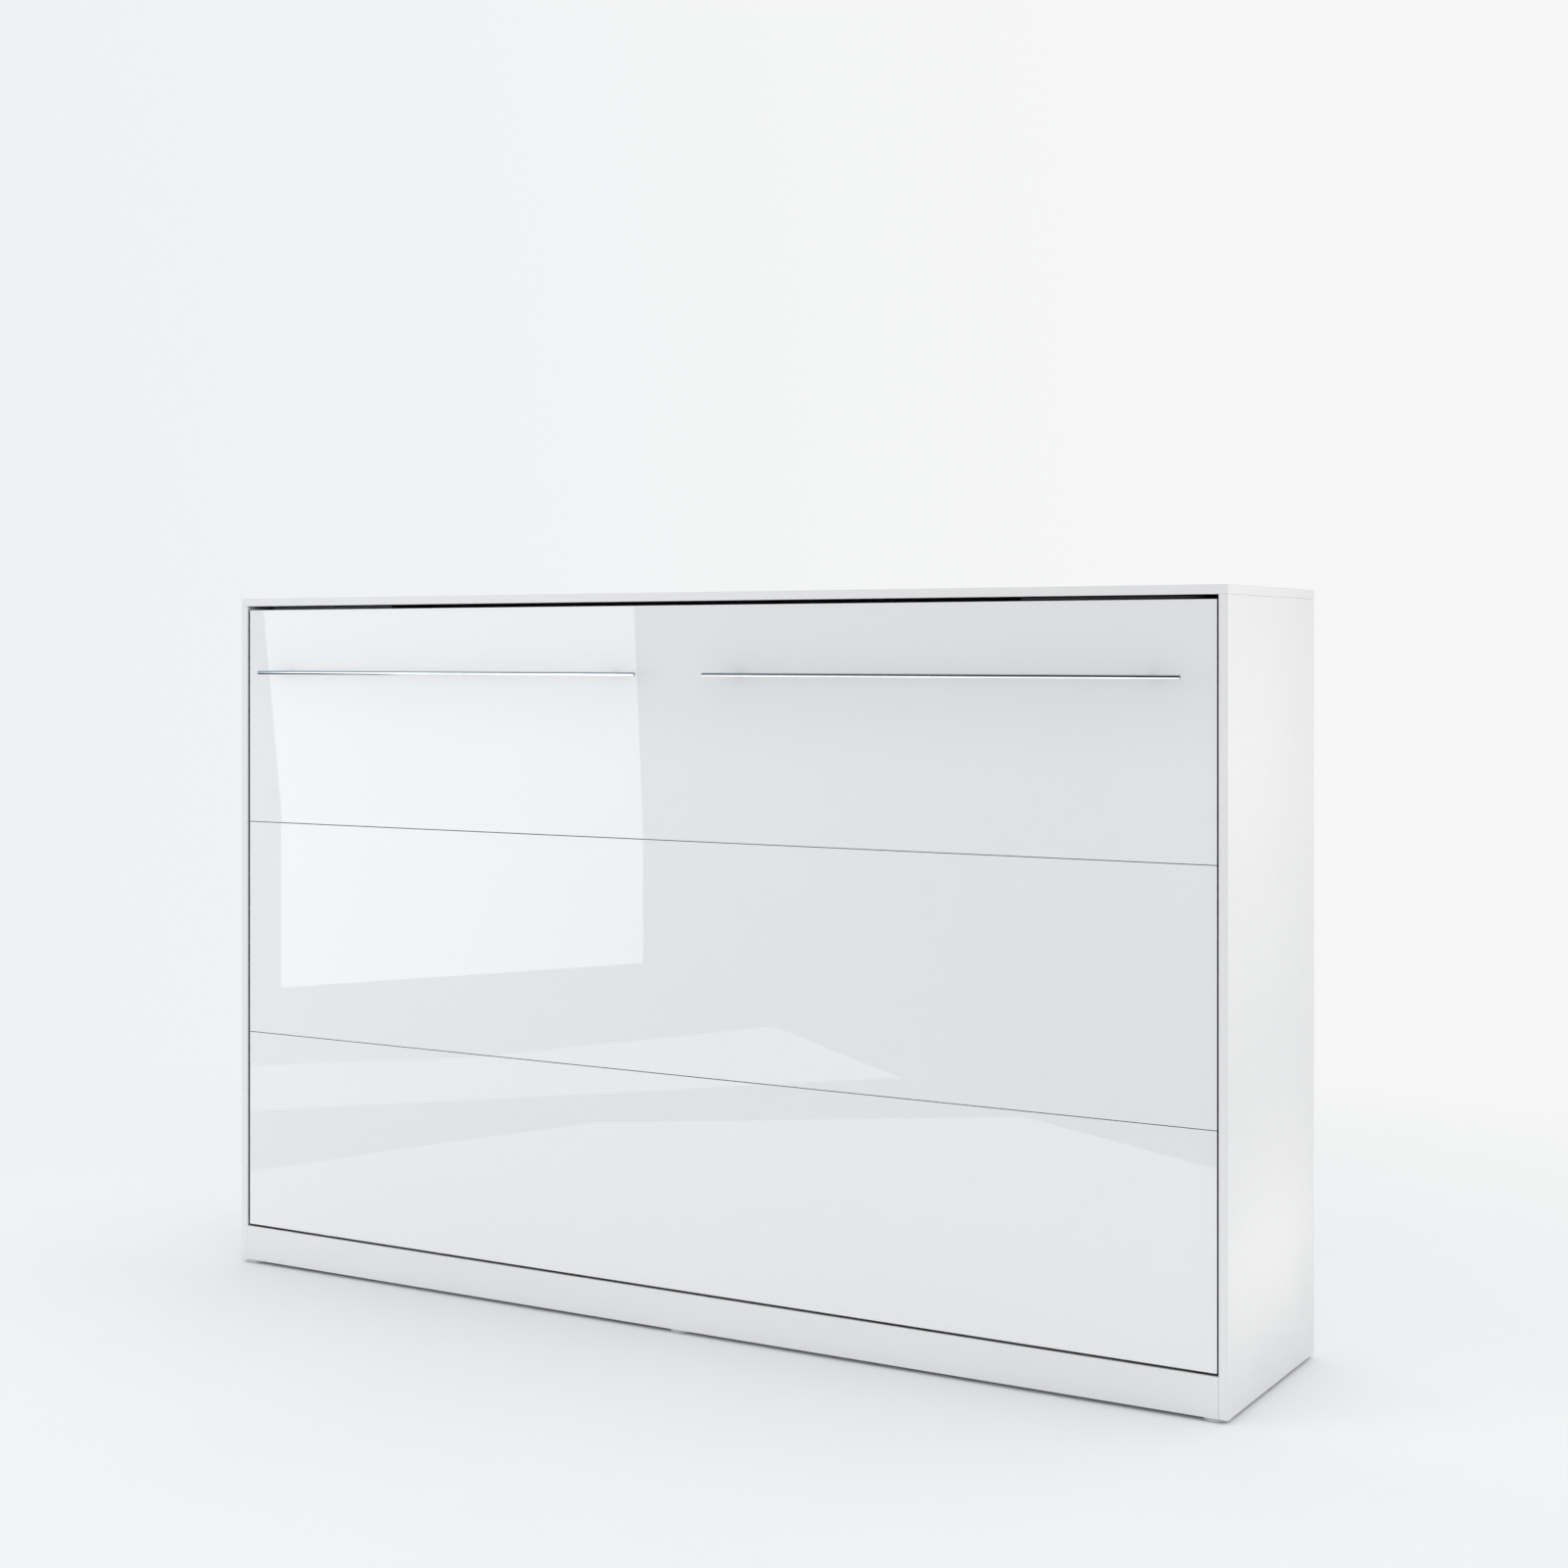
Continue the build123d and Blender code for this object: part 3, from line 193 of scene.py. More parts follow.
class Finish:
    """A material whose colour, roughness and relief are worked out from a piece's own coordinates."""

    def __init__(self, name, colour, roughness, **uniform):
        self.material = bpy.data.materials.new(name)
        self.material.use_nodes = True
        self.tree = self.material.node_tree
        self.shader = next(n for n in self.tree.nodes if n.type == "BSDF_PRINCIPLED")
        self.set("Base Color", (*colour, 1))
        self.set("Roughness", roughness)
        for key, value in uniform.items():
            self.set(SOCKETS[key], value)
        self.place = self.add("ShaderNodeTexCoord").outputs["Object"]
        self.base = None
        self.normal = None
        self.material.diffuse_color = (*colour, 1)

    def set(self, socket, value):
        """A uniform value, straight on the shader."""
        self.shader.inputs[socket].default_value = value

    def add(self, kind, inputs=None, **settings):
        """A node, with its settings, and its inputs either linked or set."""
        node = self.tree.nodes.new(kind)
        for key, value in settings.items():
            setattr(node, key, value)
        for key, value in (inputs or {}).items():
            if isinstance(value, bpy.types.NodeSocket):
                self.tree.links.new(value, node.inputs[key])
            else:
                node.inputs[key].default_value = value
        return node

    def stretched(self, scale):
        """The piece's coordinates, scaled along X, Y and Z."""
        return self.add("ShaderNodeMapping", {"Vector": self.place, "Scale": scale}).outputs["Vector"]

    def noise(self, scale, detail=2.0, stretch=None, distortion=0.0):
        """Cloudy noise, long along the axes where stretch is small."""
        place = self.stretched(stretch) if stretch else self.place
        inputs = {"Vector": place, "Scale": scale, "Detail": detail, "Distortion": distortion}
        return self.add("ShaderNodeTexNoise", inputs).outputs["Fac"]

    def cells(self, scale, stretch=None):
        """Distance to the nearest of many scattered points."""
        place = self.stretched(stretch) if stretch else self.place
        return self.add("ShaderNodeTexVoronoi", {"Vector": place, "Scale": scale}).outputs["Distance"]

    def bands(self, direction, pitch, distortion=0.0):
        """Waves along X, Y or Z, one each pitch."""
        inputs = {"Vector": self.place, "Scale": pi / 10 / pitch, "Distortion": distortion, "Detail": 2.0}
        return self.add("ShaderNodeTexWave", inputs, bands_direction=direction).outputs["Fac"]

    def combine(self, first, second, operation):
        """Two values, each a number or a socket, added or multiplied."""
        node = self.add("ShaderNodeMath", operation=operation)
        for socket, value in zip(node.inputs, (first, second)):
            if isinstance(value, bpy.types.NodeSocket):
                self.tree.links.new(value, socket)
            else:
                socket.default_value = value
        return node.outputs[0]

    def spread(self, value, low, high, start=0.3, end=0.7):
        """Runs from low to high as value goes from start to end."""
        inputs = {"Value": value, "From Min": start, "From Max": end, "To Min": low, "To Max": high}
        return self.add("ShaderNodeMapRange", inputs).outputs["Result"]

    def blend(self, share, first, second):
        """A colour between two, each a tuple or a socket."""
        node = self.add("ShaderNodeMix", data_type="RGBA")
        for key, value in ((MIX_SHARE, share), (MIX_FIRST, first), (MIX_SECOND, second)):
            if isinstance(value, bpy.types.NodeSocket):
                self.tree.links.new(value, node.inputs[key])
            else:
                node.inputs[key].default_value = value if key == MIX_SHARE else (*value, 1)
        return node.outputs[MIX_RESULT]

    def colour(self, socket):
        """Drives the base colour."""
        self.base = socket
        self.tree.links.new(socket, self.shader.inputs["Base Color"])
        return self

    def painted_gap_shade(self):
        """Painted shade: darkens what lies deep in a narrow gap, so that it is dark only while the gap is
        there.
        """
        clear = self.add("ShaderNodeAmbientOcclusion", {"Distance": GAP_SHADE_REACH}, samples=4).outputs["AO"]
        share = self.spread(clear, 1.0, 0.0, *GAP_SHADE_CLEAR)
        return self.colour(self.blend(share, self.base, GAP_SHADE_COLOUR))

    def roughness(self, value, low, high, start=0.3, end=0.7):
        """Runs the roughness from low to high as value goes from start to end."""
        self.tree.links.new(self.spread(value, low, high, start, end), self.shader.inputs["Roughness"])
        return self

    def relief(self, height, depth, strength=1.0):
        """Raises the surface by depth times height, in the shading."""
        inputs = {"Height": height, "Distance": depth, "Strength": strength}
        if self.normal:
            inputs["Normal"] = self.normal
        self.normal = self.add("ShaderNodeBump", inputs).outputs["Normal"]
        self.tree.links.new(self.normal, self.shader.inputs["Normal"])
        return self


def tones(finish, value, low, high, start=0.3, end=0.7):
    """Colours a finish from low to high as value goes from start to end."""
    share = finish.spread(value, 0.0, 1.0, start, end)
    return finish.colour(finish.blend(share, low, high))


def carcass_board(name):
    """White melamine face with a fine pearled texture, and painted shade deep in narrow gaps."""
    f = Finish(name, (0.76, 0.765, 0.765), 0.4, ior=1.4)
    tones(f, f.noise(2.5, 4.0), (0.748, 0.752, 0.752), (0.769, 0.772, 0.772))
    # painted shade: the colour is darkened deep in narrow gaps
    f.painted_gap_shade()
    f.roughness(f.noise(60.0, 3.0), 0.34, 0.46)
    f.relief(f.cells(420.0), 40e-6)
    return f.relief(f.noise(1400.0, 2.0), 25e-6)


def hardboard(name):
    """Thin painted hardboard with a faint felted texture."""
    f = Finish(name, (0.80, 0.80, 0.79), 0.6, ior=1.45)
    felt = f.noise(260.0, 6.0, distortion=1.5)
    tones(f, f.noise(9.0, 6.0), (0.775, 0.775, 0.762), (0.822, 0.822, 0.812))
    f.roughness(felt, 0.52, 0.68)
    f.relief(felt, 120e-6)
    return f.relief(f.cells(90.0, (1.0, 1.0, 4.0)), 60e-6, 0.5)


def plastic(name, low, high, roughness, grain):
    """Moulded plastic with a spark-eroded grain."""
    f = Finish(name, high, roughness, ior=1.46)
    tones(f, f.noise(35.0, 4.0), low, high)
    f.roughness(f.noise(300.0, 3.0), roughness - 0.06, roughness + 0.08)
    return f.relief(f.noise(grain, 3.0), 60e-6)


def beech(name):
    """Planed beech, grain along the slats, with the short dark flecks of its rays."""
    f = Finish(name, (0.72, 0.52, 0.33), 0.45, ior=1.5)
    rings = f.noise(14.0, 5.0, stretch=(1.0, 1.0, 0.045), distortion=0.6)
    pores = f.noise(520.0, 3.0, stretch=(1.0, 1.0, 0.02))
    flecks = f.noise(300.0, 1.0, stretch=(1.0, 0.6, 0.10))
    wood = f.blend(f.spread(rings, 0.0, 1.0, 0.32, 0.68), (0.60, 0.41, 0.24), (0.76, 0.57, 0.37))
    wood = f.blend(f.spread(pores, 0.0, 0.35, 0.5, 0.75), wood, (0.45, 0.28, 0.15))
    wood = f.blend(f.spread(flecks, 0.0, 0.6, 0.66, 0.74), wood, (0.40, 0.24, 0.13))
    plies = f.spread(f.bands("Y", 1.6 * MM), 0.0, 0.12, 0.6, 1.0)
    f.colour(f.blend(plies, wood, (0.52, 0.35, 0.20)))
    f.roughness(pores, 0.40, 0.55)
    return f.relief(pores, 40e-6)


def metal(name, low, high, roughness, stretch, depth=8e-6):
    """Bare or plated metal with fine tool marks, long where stretch is small."""
    f = Finish(name, high, roughness, metallic=1.0)
    marks = f.noise(900.0, 3.0, stretch=stretch)
    tones(f, f.noise(30.0, 5.0, distortion=0.8), low, high)
    f.roughness(marks, roughness * 0.8, roughness * 1.3)
    return f.relief(marks, depth)


def turned(name, low, high, roughness, pitch):
    """Turned or ground metal, with rings along X."""
    f = Finish(name, high, roughness, metallic=1.0)
    rings = f.bands("X", pitch, 0.4)
    tones(f, f.noise(50.0, 4.0), low, high)
    f.roughness(f.noise(700.0, 2.0), roughness * 0.8, roughness * 1.3)
    return f.relief(rings, 6e-6)


def powder_coat(name, low, high, roughness):
    """Powder coat: fine orange peel, with a slight sparkle."""
    f = Finish(name, high, roughness, ior=1.5)
    peel = f.cells(650.0)
    tones(f, f.noise(2200.0, 1.0), low, high, 0.35, 0.65)
    f.roughness(f.noise(45.0, 3.0), roughness - 0.05, roughness + 0.07)
    f.relief(peel, 60e-6)
    return f.relief(f.noise(1500.0, 2.0), 20e-6)


def gloss_front(name):
    """White polished lacquer over board: mirror-smooth, faintly wavy, warped on the upper board, with
    painted shade deep in narrow gaps.
    """
    f = Finish(name, (0.80, 0.804, 0.81), 0.03, ior=1.52)
    tones(f, f.noise(1.8, 3.0), (0.775, 0.781, 0.787), (0.785, 0.791, 0.796))
    # painted shade: the colour is darkened deep in narrow gaps
    f.painted_gap_shade()
    f.roughness(f.noise(25.0, 4.0), 0.006, 0.012)
    f.relief(f.noise(45.0, 1.0), 1.5e-6)
    axes = f.add("ShaderNodeSeparateXYZ", {0: f.place}).outputs
    above = f.spread(axes["Z"], 0.0, 1.0, *WARP_HEIGHTS)
    bow = f.combine(f.combine(axes["X"], WARP_BOW, "MULTIPLY"), WARP_SLOPE, "ADD")
    return f.relief(f.combine(f.combine(axes["X"], bow, "MULTIPLY"), above, "MULTIPLY"), 1.0)


def chrome(name):
    """Polished chrome with hair-fine marks along the bar."""
    f = Finish(name, (0.60, 0.61, 0.62), 0.06, metallic=1.0)
    marks = f.noise(2500.0, 2.0, stretch=(0.01, 1.0, 1.0))
    tones(f, f.noise(40.0, 3.0), (0.56, 0.57, 0.58), (0.62, 0.63, 0.64))
    f.roughness(marks, 0.04, 0.09)
    return f.relief(marks, 1.5e-6)


def mattress_fabric(name):
    """Thick knitted cover: rows of loops with painted shade in the hollows between them, and a soft nap."""
    f = Finish(name, (0.84, 0.83, 0.805), 0.85, ior=1.4, sheen_weight=0.35, sheen_roughness=0.5)
    loops = f.cells(300.0, (1.0, 1.0, 1.6))
    nap = f.noise(700.0, 4.0)
    cloud = f.noise(6.0, 3.0)
    knit = f.blend(f.spread(cloud, 0.0, 1.0), (0.815, 0.805, 0.778), (0.86, 0.852, 0.828))
    # painted shade: the hollows between the loops are darkened
    knit = f.blend(f.spread(loops, 0.0, 0.30, 0.35, 0.75), knit, (0.60, 0.59, 0.56))
    f.colour(knit)
    f.roughness(nap, 0.78, 0.92)
    f.relief(loops, -900e-6)
    return f.relief(nap, 250e-6)


def piping_fabric(name):
    """Tightly woven edge tape."""
    f = Finish(name, (0.40, 0.41, 0.43), 0.8, ior=1.4, sheen_weight=0.3)
    twill = f.cells(900.0, (1.0, 2.0, 1.0))
    tones(f, twill, (0.42, 0.43, 0.45), (0.30, 0.31, 0.33))
    f.roughness(f.noise(500.0), 0.7, 0.88)
    return f.relief(twill, -300e-6)


def webbing(name):
    """Dark woven webbing: slanting weft yarns over rows of warp along the strap."""
    f = Finish(name, (0.05, 0.05, 0.055), 0.7, ior=1.45, sheen_weight=0.25)
    f.place = f.add("ShaderNodeUVMap", uv_map="UVMap").outputs["UV"]
    weft = f.add(
        "ShaderNodeTexWave",
        {"Vector": f.place, "Scale": pi / 10 / (2.4 * MM), "Distortion": 0.3},
        bands_direction="DIAGONAL",
    ).outputs["Fac"]
    warp = f.bands("Y", 1.6 * MM)
    yarn = f.combine(weft, warp, "MULTIPLY")
    tones(f, yarn, (0.030, 0.030, 0.034), (0.085, 0.085, 0.092), 0.1, 0.8)
    f.roughness(f.noise(900.0), 0.6, 0.82)
    return f.relief(yarn, 350e-6)


def stitching(name):
    """Thread of the strap's hem."""
    f = Finish(name, (0.32, 0.32, 0.33), 0.6, sheen_weight=0.3)
    twist = f.noise(1800.0, 2.0, distortion=1.0)
    tones(f, twist, (0.24, 0.24, 0.25), (0.42, 0.42, 0.43))
    f.roughness(twist, 0.5, 0.7)
    return f.relief(twist, 120e-6)


ZINC = ((0.50, 0.53, 0.56), (0.68, 0.71, 0.74))
STEEL = ((0.46, 0.47, 0.49), (0.60, 0.61, 0.63))

EVEN = (1.0, 1.0, 1.0)
DRAWN = (1.0, 1.0, 0.05)         # marks long along Z

FINISHES = {
    "carcass_board": (carcass_board,),
    "hardboard": (hardboard,),
    "white_plastic": (plastic, (0.82, 0.825, 0.83), (0.86, 0.865, 0.87), 0.30, 500.0),
    "glide_plastic": (plastic, (0.50, 0.51, 0.52), (0.58, 0.59, 0.60), 0.50, 900.0),
    "beech": (beech,),
    "cam_metal": (metal, (0.48, 0.49, 0.50), (0.62, 0.63, 0.64), 0.42, EVEN, 30e-6),
    "zinc_plate": (metal, *ZINC, 0.34, DRAWN),
    "screw_steel": (metal, *ZINC, 0.30, EVEN),
    "pin_steel": (turned, *STEEL, 0.25, 0.5 * MM),
    "buffer_rubber": (plastic, (0.018, 0.018, 0.018), (0.03, 0.03, 0.03), 0.72, 1500.0),
    "gloss_front": (gloss_front,),
    "chrome": (chrome,),
    "frame_paint": (powder_coat, (0.44, 0.455, 0.47), (0.54, 0.555, 0.57), 0.42),
    "black_plastic": (plastic, (0.02, 0.02, 0.022), (0.035, 0.035, 0.038), 0.48, 1100.0),
    "mattress_fabric": (mattress_fabric,),
    "webbing": (webbing,),
    "bushing_plastic": (plastic, (0.76, 0.73, 0.64), (0.82, 0.80, 0.72), 0.38, 700.0),
    "cylinder_paint": (powder_coat, (0.014, 0.014, 0.016), (0.024, 0.024, 0.026), 0.26),
    "guide_brass": (turned, (0.62, 0.46, 0.20), (0.78, 0.60, 0.30), 0.28, 0.4 * MM),
    "polished_rod": (metal, (0.72, 0.73, 0.74), (0.80, 0.81, 0.82), 0.08, EVEN, 2e-6),
    "leg_paint": (powder_coat, (0.018, 0.018, 0.020), (0.030, 0.030, 0.033), 0.50),
}


def finish_cad_nodes():
    """Gives every CAD node the finish of its material slot."""
    made = {slot: build(slot, *values).material for slot, (build, *values) in FINISHES.items()}
    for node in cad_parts.values():
        for place in node.material_slots:
            place.material = made[place.material.name.split(".")[0]]
    return made


# ======================================================================================
# Meshes
# ======================================================================================

def mesh_object(name, vertices, faces, material):
    """A smooth-shaded object from points and faces."""
    mesh = bpy.data.meshes.new(name)
    mesh.from_pydata([tuple(v) for v in vertices], [], faces)
    mesh.update()
    mesh.materials.append(material)
    mesh.polygons.foreach_set("use_smooth", [True] * len(mesh.polygons))
    obj = bpy.data.objects.new(name, mesh)
    bpy.context.scene.collection.objects.link(obj)
    return obj


def apply_modifiers(obj):
    """Keeps the evaluated mesh and drops the modifiers."""
    graph = bpy.context.evaluated_depsgraph_get()
    mesh = bpy.data.meshes.new_from_object(obj.evaluated_get(graph), depsgraph=graph)
    obj.modifiers.clear()
    old = obj.data
    obj.data = mesh
    bpy.data.meshes.remove(old)


def points_of(obj, what="co"):
    """Every vertex's place, or its normal, as rows of an array."""
    flat = np.empty(len(obj.data.vertices) * 3, np.float32)
    obj.data.vertices.foreach_get(what, flat)
    return flat.reshape(-1, 3).astype(float)


def set_points(obj, points):
    """Moves every vertex."""
    obj.data.vertices.foreach_set("co", points.astype(np.float32).ravel())
    obj.data.update()


def swept_loop(name, centres, sections, material, closed=True):
    """A tube or ribbon: one ring of points at each centre, joined up in order."""
    count, around = len(centres), len(sections[0])
    vertices = [c + s for c, ring in zip(centres, sections) for s in ring]
    faces = []
    for i in range(count if closed else count - 1):
        here, there = i * around, (i + 1) % count * around
        for k in range(around):
            after = (k + 1) % around
            faces.append((here + k, here + after, there + after, there + k))
    if not closed:
        faces.append(tuple(reversed(range(around))))
        faces.append(tuple(range((count - 1) * around, count * around)))
    obj = mesh_object(name, vertices, faces, material)
    shape = bmesh.new()
    shape.from_mesh(obj.data)
    bmesh.ops.recalc_face_normals(shape, faces=shape.faces[:])
    shape.to_mesh(obj.data)
    shape.free()
    return obj


# ======================================================================================
# Mattress
# ======================================================================================

def soft_body(name, low, high, radius, material):
    """A box with rounded edges and corners, remeshed into even cells."""
    mesh = bpy.data.meshes.new(name)
    shape = bmesh.new()
    bmesh.ops.create_cube(shape, size=1.0)
    size, middle = high - low, (high + low) / 2
    for vertex in shape.verts:
        vertex.co = Vector(c * s for c, s in zip(vertex.co, size)) + middle
    bmesh.ops.bevel(shape, geom=shape.edges[:], offset=radius, segments=4, profile=0.5, affect="EDGES")
    shape.to_mesh(mesh)
    shape.free()
    mesh.materials.append(material)
    obj = bpy.data.objects.new(name, mesh)
    bpy.context.scene.collection.objects.link(obj)
    remesh = obj.modifiers.new("remesh", "REMESH")
    remesh.mode = "VOXEL"
    remesh.voxel_size = VOXEL
    remesh.use_smooth_shade = True
    apply_modifiers(obj)
    return obj


def inflate(obj):
    """Blows the body up as cloth, so that it crowns and pulls in at its corners."""
    cloth = obj.modifiers.new("cloth", "CLOTH")
    cloth.settings.use_pressure = True
    cloth.settings.uniform_pressure_force = CLOTH_PRESSURE
    cloth.settings.effector_weights.gravity = 0.0
    cloth.settings.quality = CLOTH_QUALITY
    cloth.settings.tension_stiffness = CLOTH_STIFFNESS
    cloth.settings.compression_stiffness = CLOTH_STIFFNESS
    cloth.settings.bending_stiffness = CLOTH_BENDING
    cloth.collision_settings.use_collision = False
    scene = bpy.context.scene
    scene.frame_start = 1
    scene.frame_end = CLOTH_FRAMES
    for number in range(1, CLOTH_FRAMES + 1):
        scene.frame_set(number)
    apply_modifiers(obj)
    scene.frame_set(1)


def swell(obj, rest):
    """Moves the resting shape towards the inflated one, as far as each face may go."""
    moved = points_of(obj) - rest
    low, high = rest[:, 1].min(), rest[:, 1].max()
    rise = (rest[:, 1] - low) / (high - low)
    limit = np.stack([
        np.full(len(rest), SIDE_LIMIT),
        BASE_LIMIT + (SWELL_LIMIT - BASE_LIMIT) * rise ** 2,
        np.full(len(rest), SIDE_LIMIT),
    ], axis=1)
    softened = limit * np.tanh(moved / limit)
    set_points(obj, rest + softened)


def quilt_distance(x, z):
    """Distance to the nearest line of the diamond quilting."""
    shares = np.stack([(x + z) / QUILT_PITCH, (x - z) / QUILT_PITCH])
    return np.abs(shares - np.round(shares)).min(0) * QUILT_PITCH / np.sqrt(2)


def quilt(obj, low, high):
    """Presses the quilting's channels into both large faces, and upright channels into the sides."""
    points, normals = points_of(obj), points_of(obj, "normal")
    x, y, z = points.T
    middle = (low + high) / 2
    inside = np.minimum(np.minimum(x - low.x, high.x - x), np.minimum(z - low.z, high.z - z))
    facing = np.abs(normals[:, 1])
    flat = np.clip((facing - FACE_FROM) / TURN_RUN, 0, 1)
    fade = np.clip((inside - QUILT_BORDER + QUILT_FADE) / QUILT_FADE, 0, 1)
    channels = np.exp(-(quilt_distance(x - middle.x, z - middle.z) / QUILT_WIDTH) ** 2)
    border = np.exp(-((inside - QUILT_BORDER) / BORDER_WIDTH) ** 2)
    dent = flat * QUILT_DEPTH * np.maximum(channels * fade, border)
    side = np.clip((SIDE_FROM - facing) / TURN_RUN, 0, 1)
    along = np.where(np.abs(normals[:, 0]) > np.abs(normals[:, 2]), z - middle.z, x - middle.x)
    band = np.abs(y - middle.y) < (high.y - low.y) / 2 - PIPING_INSET
    ripple = (0.5 - 0.5 * np.cos(2 * pi * along / BAND_PITCH)) ** BAND_SHARPNESS
    dent += side * band * ripple * BAND_DEPTH
    set_points(obj, points - normals * dent[:, None])


def subdivide(obj):
    """One level of subdivision, applied."""
    levels = obj.modifiers.new("subdivision", "SUBSURF")
    levels.levels = 1
    levels.render_levels = 1
    apply_modifiers(obj)


def surface_of(obj):
    """A tree of the object's faces, for rays."""
    mesh = obj.data
    return BVHTree.FromPolygons([v.co for v in mesh.vertices], [p.vertices[:] for p in mesh.polygons])


def piping(name, tree, y, low, high, material):
    """Piping round the mattress at one height, laid on its side."""
    middle, half = (low + high) / 2, (high - low) / 2
    turns = [2 * pi * k / PIPING_SIDES for k in range(PIPING_SIDES)]
    outline = rounded_rectangle(half.x - PIPING_INSET, half.z - PIPING_INSET, PIPING_INSET, PIPING_STEPS)
    centres, sections = [], []
    for across, up, outward in outline:
        way = Vector((outward[0], 0, outward[1]))
        start = Vector((middle.x + across, y, middle.z + up)) + way * PROBE
        hit = tree.ray_cast(start, -way)[0]
        centres.append((hit or start - way * PROBE) + way * PIPING_RADIUS * PIPING_PROUD)
        sections.append([
            way * (cos(turn) * PIPING_RADIUS) + Vector((0, sin(turn) * PIPING_RADIUS, 0)) for turn in turns
        ])
    return swept_loop(name, centres, sections, material)


def rounded_rectangle(half_x, half_z, radius, count):
    """Points round a rectangle with round corners, each with its outward direction.

    The half sizes are those of the rectangle that the corners' centres lie on.
    """
    arc = radius * pi / 2
    length = 4 * (half_x + half_z + arc)
    found = []
    for i in range(count):
        travel = length * i / count
        for quarter in range(4):
            half, out_to = (half_z, half_x) if quarter % 2 == 0 else (half_x, half_z)
            turn = quarter * pi / 2
            out = (cos(turn), sin(turn))
            if travel < 2 * half:
                step, reach = travel - half, out_to + radius
                found.append((out[0] * reach - out[1] * step, out[1] * reach + out[0] * step, out))
                break
            travel -= 2 * half
            if travel < arc:
                angle = turn + travel / radius
                out = (cos(angle), sin(angle))
                corner = corner_after(turn, half_x, half_z)
                found.append((corner[0] + out[0] * radius, corner[1] + out[1] * radius, out))
                break
            travel -= arc
    return found


def corner_after(turn, half_x, half_z):
    """Centre of the corner that follows the side facing turn."""
    angle = turn + pi / 4
    return (half_x if cos(angle) > 0 else -half_x, half_z if sin(angle) > 0 else -half_z)


def make_mattress(finishes):
    """The mattress with its piping, and every point of their surfaces."""
    low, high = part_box("mattress")
    fabric = finishes["mattress_fabric"]
    inner_low = low + Vector((SIDE_LIMIT, 0, SIDE_LIMIT))
    inner_high = high - Vector((SIDE_LIMIT, MATTRESS_CROWN, SIDE_LIMIT))
    body = soft_body("mattress_body", inner_low, inner_high, MATTRESS_ROUND, fabric)
    rest = points_of(body)
    inflate(body)
    swell(body, rest)
    subdivide(body)
    quilt(body, low, high)
    surface = [points_of(body)]
    tree = surface_of(body)
    tape = piping_fabric("piping_fabric").material
    for name, y in (("lower", low.y + PIPING_INSET), ("upper", inner_high.y - PIPING_INSET)):
        edge = piping(f"mattress_piping_{name}", tree, y, low, high, tape)
        surface.append(points_of(edge))
        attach(edge, "bed")
    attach(body, "bed")
    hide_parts("mattress")
    return np.concatenate(surface)


# ======================================================================================
# Straps
# ======================================================================================

def ribbon(name, line, x, width, material):
    """Flat webbing along a line of (y, z) points, centred on x, with rounded edges and its length in UV."""
    half, rim = width / 2, STRAP_THICKNESS / 2
    thin = rim * STRAP_RIM
    profile = [(-half, -thin), (-half + rim, -rim), (half - rim, -rim), (half, -thin),
               (half, thin), (half - rim, rim), (-half + rim, rim), (-half, thin)]
    points = [Vector((x, y, z)) for y, z in line]
    centres, sections, lengths = [], [], [0.0]
    for i, here in enumerate(points):
        before, after = points[max(i - 1, 0)], points[min(i + 1, len(points) - 1)]
        along = (after - before).normalized()
        out = Vector((1, 0, 0)).cross(along)
        centres.append(here)
        sections.append([Vector((across, 0, 0)) + out * lift for across, lift in profile])
        if i:
            lengths.append(lengths[-1] + (here - points[i - 1]).length)
    obj = swept_loop(name, centres, sections, material, closed=False)
    around = len(profile)
    uv = obj.data.uv_layers.new(name="UVMap")
    for loop in obj.data.loops:
        ring, k = divmod(loop.vertex_index, around)
        uv.data[loop.index].uv = (lengths[ring], profile[k][0])
    return obj


def hull(points):
    """The convex outline of points in a plane, anticlockwise."""
    points = sorted(set(points))

    def chain(ordered):
        """The side of the outline that keeps turning left."""
        kept = []
        for p in ordered:
            while len(kept) > 1:
                (ax, ay), (bx, by) = kept[-2:]
                if (bx - ax) * (p[1] - ay) - (by - ay) * (p[0] - ax) > 0:
                    break
                kept.pop()
            kept.append(p)
        return kept[:-1]

    return chain(points) + chain(points[::-1])


def taut_line(surface, x, buckle, strap):
    """The strap's middle line, as (y, z): drawn tight from rail to rail over all that it crosses."""
    buckle_low, buckle_high = buckle
    strap_low, strap_high = strap
    under = surface[np.abs(surface[:, 0] - x) < STRAP_WIDTH / 2 + STRAP_MARGIN]
    points = [(float(z), float(y)) for _, y, z in under]
    buckle_bed = buckle_low.y - STRAP_THICKNESS
    points += [(buckle_low.z, buckle_bed), (buckle_high.z, buckle_bed)]
    start = (strap_low.z + STRAP_THICKNESS, strap_low.y)
    end = (strap_high.z - STRAP_THICKNESS, strap_low.y)
    outline = hull([p for p in points if p[1] > strap_low.y] + [start, end])
    turn = outline.index(end)
    tight = resample((outline[turn:] + outline[:turn])[::-1], STRAP_STEP)
    slopes = np.gradient(np.array(tight), axis=0)
    out = np.stack([-slopes[:, 1], slopes[:, 0]], axis=1)
    out /= np.linalg.norm(out, axis=1)[:, None]
    line = np.array(tight) + out * STRAP_THICKNESS / 2
    return [(y, z) for z, y in line]


def resample(line, step):
    """Evenly spaced points along a line, smoothed a little."""
    points = np.array(line)
    pieces = np.linalg.norm(np.diff(points, axis=0), axis=1)
    travel = np.concatenate([[0], np.cumsum(pieces)])
    places = np.linspace(0, travel[-1], max(int(travel[-1] / step), 2))
    even = np.stack([np.interp(places, travel, points[:, k]) for k in (0, 1)], axis=1)
    even[1:-1] = (even[:-2] + 2 * even[1:-1] + even[2:]) / 4
    return [tuple(p) for p in even]


